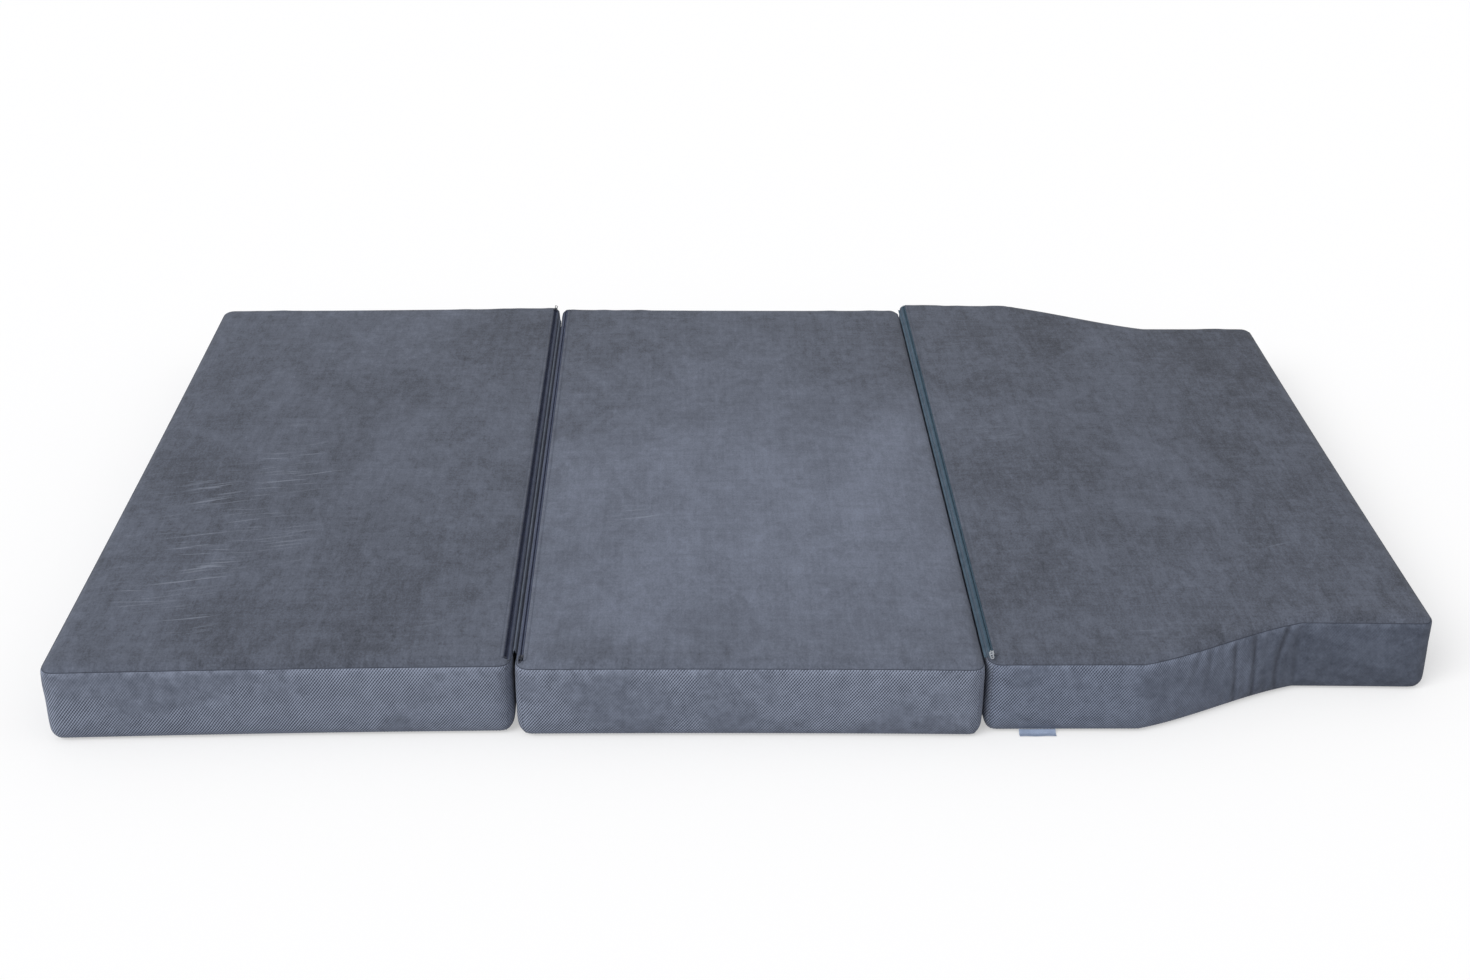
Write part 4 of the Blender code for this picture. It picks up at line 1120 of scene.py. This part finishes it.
def add_zip(panel):
    """The zip's tapes, coil rows, end stops, slider and pull, with rolled and stitched hems beside it."""
    name, top = panel.name, panel.name + "_top"
    colour, plating = ZIP_LOOKS[name]
    tape = colour + "_tape"
    place, depth = zip_place(panel), shoulder_depth(panel)
    half = slot_half_length(panel) - FIT_CLEARANCE
    row_half = half - STOP_LENGTH - FIT_CLEARANCE

    def add_strip(part, profile, look, slot, shorter=0, node=None, narrowed=None):
        mesh = strip_mesh(part, place, profile, half - shorter, narrowed)
        add_piece(f"{name}_{part}", finish_surface(mesh, LOOKS[look]), slot, panel.body, node)

    def on_cover(rows):
        return [(u * MM, depth(u * MM) + n * MM) for u, n in rows]

    for side, word in ((LEFT, "inner"), (RIGHT, "outer")):
        profile = [(side * u * MM, n * MM) for u, n in TAPE_PROFILE]
        add_strip(f"zip_tape_{word}_woven", profile, tape, tape, node=f"{name}_zip_tape_{word}")
        nylon = "faded_coil" if (name, side) == ("middle", LEFT) else colour + "_coil"
        sizes = {**COIL_SIZES, "Start Offset": COIL_SIZES["Pitch"] / 2 if side == LEFT else 0.0, "Coil": LOOKS[nylon]}
        u = side * (ROW_GAP + ROW_WIDTH) / 2
        path = [place @ Vector((u, y, LIFT)) for y in even(-row_half, row_half, COIL_STEP)]
        node = f"{name}_zip_teeth_{word}"
        add_by_rule(panel, f"zip_coil_{word}", [(path, False)], "coil", sizes, colour + "_teeth", node)
    add_strip("zip_guard", GUARD_PROFILE, tape, tape)
    flap = on_cover(FLAP_OVER_COVER) + [(u * MM, n * MM) for u, n in FLAP_PROFILE] + on_cover(FLAP_UNDER_COVER)
    add_strip("zip_flap", flap, top, "suede_top", FLAP_INSET)
    across = np.linspace(SLOT_HALF_WIDTH - LIFT, EDGE_TAPE_REACH[name], EDGE_TAPE_POINTS)
    outer = [(u, depth(u) + EDGE_TAPE_TOP) for u in across]
    under = [(u, depth(u) - EDGE_TAPE_BOTTOM) for u in across[::-1]]
    if name == "right":
        wall, inverse = panel.walls[panel.zip_side], place.inverted()
        lip = [inverse @ Vector((wall + panel.zip_side * off, panel.middle, z)) for off, z in EDGE_TAPE_LIP]
        outer += [(p.x, p.z) for p in lip]

    def narrowed(y):
        return NARROW_SHARE + (1 - NARROW_SHARE) * float(smooth((half - NARROW_INSET - y) / NARROW_LENGTH))

    narrowing = narrowed if name == "left" else None
    add_strip("zip_edge_tape", outer + under, tape, tape, EDGE_TAPE_INSET, narrowed=narrowing)
    hem = slot_outline(place, SLOT_HALF_WIDTH + HEM_MARGIN, slot_half_length(panel) + HEM_MARGIN, depth)
    add_by_rule(panel, "zip_hem", [(hem, True)], "hem", {"Radius": HEM_RADIUS, "Cloth": LOOKS[top]}, "suede_top")
    rows = []
    for side in (LEFT, RIGHT):
        u = side * (SLOT_HALF_WIDTH + TOPSTITCH_OFFSET)
        ys = even(-half + TOPSTITCH_INSET, half - TOPSTITCH_INSET, STRIP_STEP)
        rows.append(([place @ Vector((u, y, depth(u, y) + LIFT)) for y in ys], False))
    add_by_rule(panel, "zip_topstitch", rows, "stitches", {**TOPSTITCHES, "Thread": LOOKS["thread"]}, "suede_top")
    for part, width, body in METAL_PARTS:
        node = f"{name}_zip_{part}"
        mesh = finish_surface(smooth_copy(node, width), LOOKS[plating], 30)
        add_piece(node + "_metal", mesh, plating + "_metal", f"{name}_{body}", node)


# ---- The cloth hinges and the label ----

def sheet_mesh(name, profile, rows, thickness, turned=False):
    """A sheet swept from a profile of points, with its thickness. It goes along Y, or turned, along X."""
    run = steps_along(profile)
    count = len(profile)
    points = [(row, a, z) if turned else (a, row, z) for row in rows for a, z in profile]
    faces, flat = [], []
    for row, (here, there) in enumerate(zip(rows, rows[1:])):
        for i in range(count - 1):
            a = row * count + i
            faces.append((a, a + 1, a + count + 1, a + count))
            flat += [(run[i], here), (run[i + 1], here), (run[i + 1], there), (run[i], there)]
    return modified(mesh_of(name, points, faces, flat=flat), FINER, ("SOLIDIFY", dict(thickness=thickness, offset=0)))


def top_hinge_height(share):
    """Lying flat, the top hinge rises in a small pleat between the tops that fold together."""
    return TOP_HINGE_EDGE + TOP_HINGE_PLEAT * (1 - abs(share) ** TOP_HINGE_POWER)


def bottom_hinge_height(share):
    return BOTTOM_HINGE_MIDDLE + BOTTOM_HINGE_RISE * abs(share) ** 2


def add_hinge(node, panels, half_width, rise, thickness, level):
    """The cloth that joins two panels, with its height given for each place across it, as a share from -1 to 1."""
    centre = (panels[0].end + panels[1].start) / 2
    half_length = PANEL_WIDTH / 2 - HINGE_END_INSET
    profile = [(centre + half_width * share, rise(share)) for share in np.linspace(-1, 1, HINGE_POINTS)]
    mesh = sheet_mesh(node + "_cloth", profile, even(-half_length, half_length, HINGE_STEP), thickness)
    piece = add_piece(node + "_cloth", finish_surface(mesh, LOOKS["hinge"]), "hinge_cloth", node=node)
    steps_along(profile)[-1]
    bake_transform(piece)


def add_label(panel):
    """The blank cloth label, sewn into the base seam, which comes down to the floor and out over it."""
    (start, front, _), (end, back, _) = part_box("label_tag")
    rows = []
    for share in np.linspace(0, 1, LABEL_POINTS):
        drop = (BASE_SEAM_HEIGHT - LABEL_LYING_HEIGHT) * float(smooth((share - LABEL_DROP_START) / LABEL_DROP_LENGTH))
        lift = LABEL_END_LIFT * max(0.0, share - LABEL_LIFT_START) * LABEL_LIFT_RATE
        rows.append((back + (front - back) * share, BASE_SEAM_HEIGHT - LABEL_UNDER_SEAM - drop + lift))
    mesh = sheet_mesh("label_cloth", rows, even(start, end, LABEL_STEP), LABEL_THICKNESS, turned=True)
    places = places_of(mesh)
    lying = smooth((back - places[:, 1]) / (back - front))
    places[:, 2] += LABEL_WAVE * lying * (1 + np.sin((places[:, 0] - start) * 2 * math.pi / LABEL_WAVE_LENGTH))
    mesh.vertices.foreach_set("co", places.ravel())
    piece = add_piece("label_tag_cloth", finish_surface(mesh, LOOKS["label"]), "label_cloth", panel.body, "label_tag")
    steps_along(rows)[-1]


# ---- The stage ----

FLOOR_HALF, FLOOR_LEVEL, FLOOR_GLOW = 14, -0.0004, 0.45
FLOOR_GREY, SKY_GREY, WHITE = (0.62, 0.62, 0.63, 1), (0.52, 0.52, 0.53, 1), (1, 1, 1, 1)
# Each lamp's place as seen from the part, its spread in degrees and its strength.
LAMPS = {"key_softbox": ((-2.7, -2.7, 3.3), 40, 2.0), "fill_softbox": ((2.6, -1.0, 3.2), 70, 0.25)}


def seen_directly(paint):
    """A mask of what the camera sees, straight or in a shiny surface, as against what lights the part."""
    ray = paint.add("ShaderNodeLightPath")
    return paint.math("MAXIMUM", ray["Is Camera Ray"], ray["Is Glossy Ray"])


def add_floor():
    corners = [(FLOOR_HALF * x, FLOOR_HALF * y, FLOOR_LEVEL) for x, y in ((-1, -1), (1, -1), (1, 1), (-1, 1))]
    mesh = mesh_of("pale_floor", corners, [(0, 1, 2, 3)])
    paint = Surface("pale_floor", 1.0, Specular_IOR_Level=0.0, Emission_Color=WHITE)
    seen = seen_directly(paint)
    paint.set(Base_Color=paint.mix(seen, FLOOR_GREY, (1 - FLOOR_GLOW,) * 3 + (1,)),
              Emission_Strength=paint.math("MULTIPLY", seen, FLOOR_GLOW))
    mesh.materials.append(paint.material)
    add_piece("pale_floor", mesh)


def add_light(name, towards, spread, strength):
    """A wide soft lamp so far off that it lights every place the same. towards points from the part to the lamp."""
    lamp = bpy.data.lights.new(name, "SUN")
    lamp.angle, lamp.energy = math.radians(spread), strength
    light = add_piece(name, lamp)
    light.location = towards
    light.rotation_euler = (-Vector(towards)).to_track_quat("-Z", "Y").to_euler()


def add_world():
    world = bpy.context.scene.world = bpy.data.worlds.new("soft_sky")
    world.use_nodes = True
    paint = Paint(world.node_tree)
    paint.feed(world.node_tree.nodes["Background"].inputs, Color=paint.mix(seen_directly(paint), SKY_GREY, WHITE))


CAMERA_PLACE = (-0.08285, -2.9333, 1.5676)
CAMERA_PITCH, CAMERA_YAW, CAMERA_ROLL = (math.radians(a) for a in (27.2641, 1.5027, 0.3639))
CAMERA_LENS, SENSOR_WIDTH = 50.008, 36.0


def add_camera():
    forward = Vector((math.sin(CAMERA_YAW) * math.cos(CAMERA_PITCH),
                      math.cos(CAMERA_YAW) * math.cos(CAMERA_PITCH), -math.sin(CAMERA_PITCH)))
    side = Vector((math.cos(CAMERA_YAW), -math.sin(CAMERA_YAW), 0))
    up = side.cross(forward)
    right = side * math.cos(CAMERA_ROLL) + up * math.sin(CAMERA_ROLL)
    above = up * math.cos(CAMERA_ROLL) - side * math.sin(CAMERA_ROLL)
    data = bpy.data.cameras.new("photo_view")
    data.lens, data.sensor_width, data.sensor_fit = CAMERA_LENS, SENSOR_WIDTH, "HORIZONTAL"
    camera = add_piece("photo_view", data)
    camera.matrix_world = Matrix.Translation(CAMERA_PLACE) @ Matrix((right, above, -forward)).transposed().to_4x4()
    bpy.context.scene.camera = camera


def main():
    left, middle, right = make_panels()
    for seed, panel in enumerate((left, middle, right)):
        form, points = settled(panel, seed)
        add_covers(panel, form, points)
        add_core(panel)
        add_seams(panel, form, points)
        add_zip(panel)
    add_hinge("hinge_strip_top", (left, middle), TOP_HINGE_HALF_WIDTH, top_hinge_height, TOP_HINGE_THICKNESS,
              TOP_HINGE_LEVEL)
    add_hinge("hinge_strip_bottom", (middle, right), BOTTOM_HINGE_HALF_WIDTH, bottom_hinge_height,
              BOTTOM_HINGE_THICKNESS, BOTTOM_HINGE_LEVEL)
    add_label(right)
    add_floor()
    add_world()
    for name, (towards, spread, strength) in LAMPS.items():
        add_light(name, towards, spread, strength)
    add_camera()
    bpy.context.scene.view_settings.view_transform = "Standard"


main()
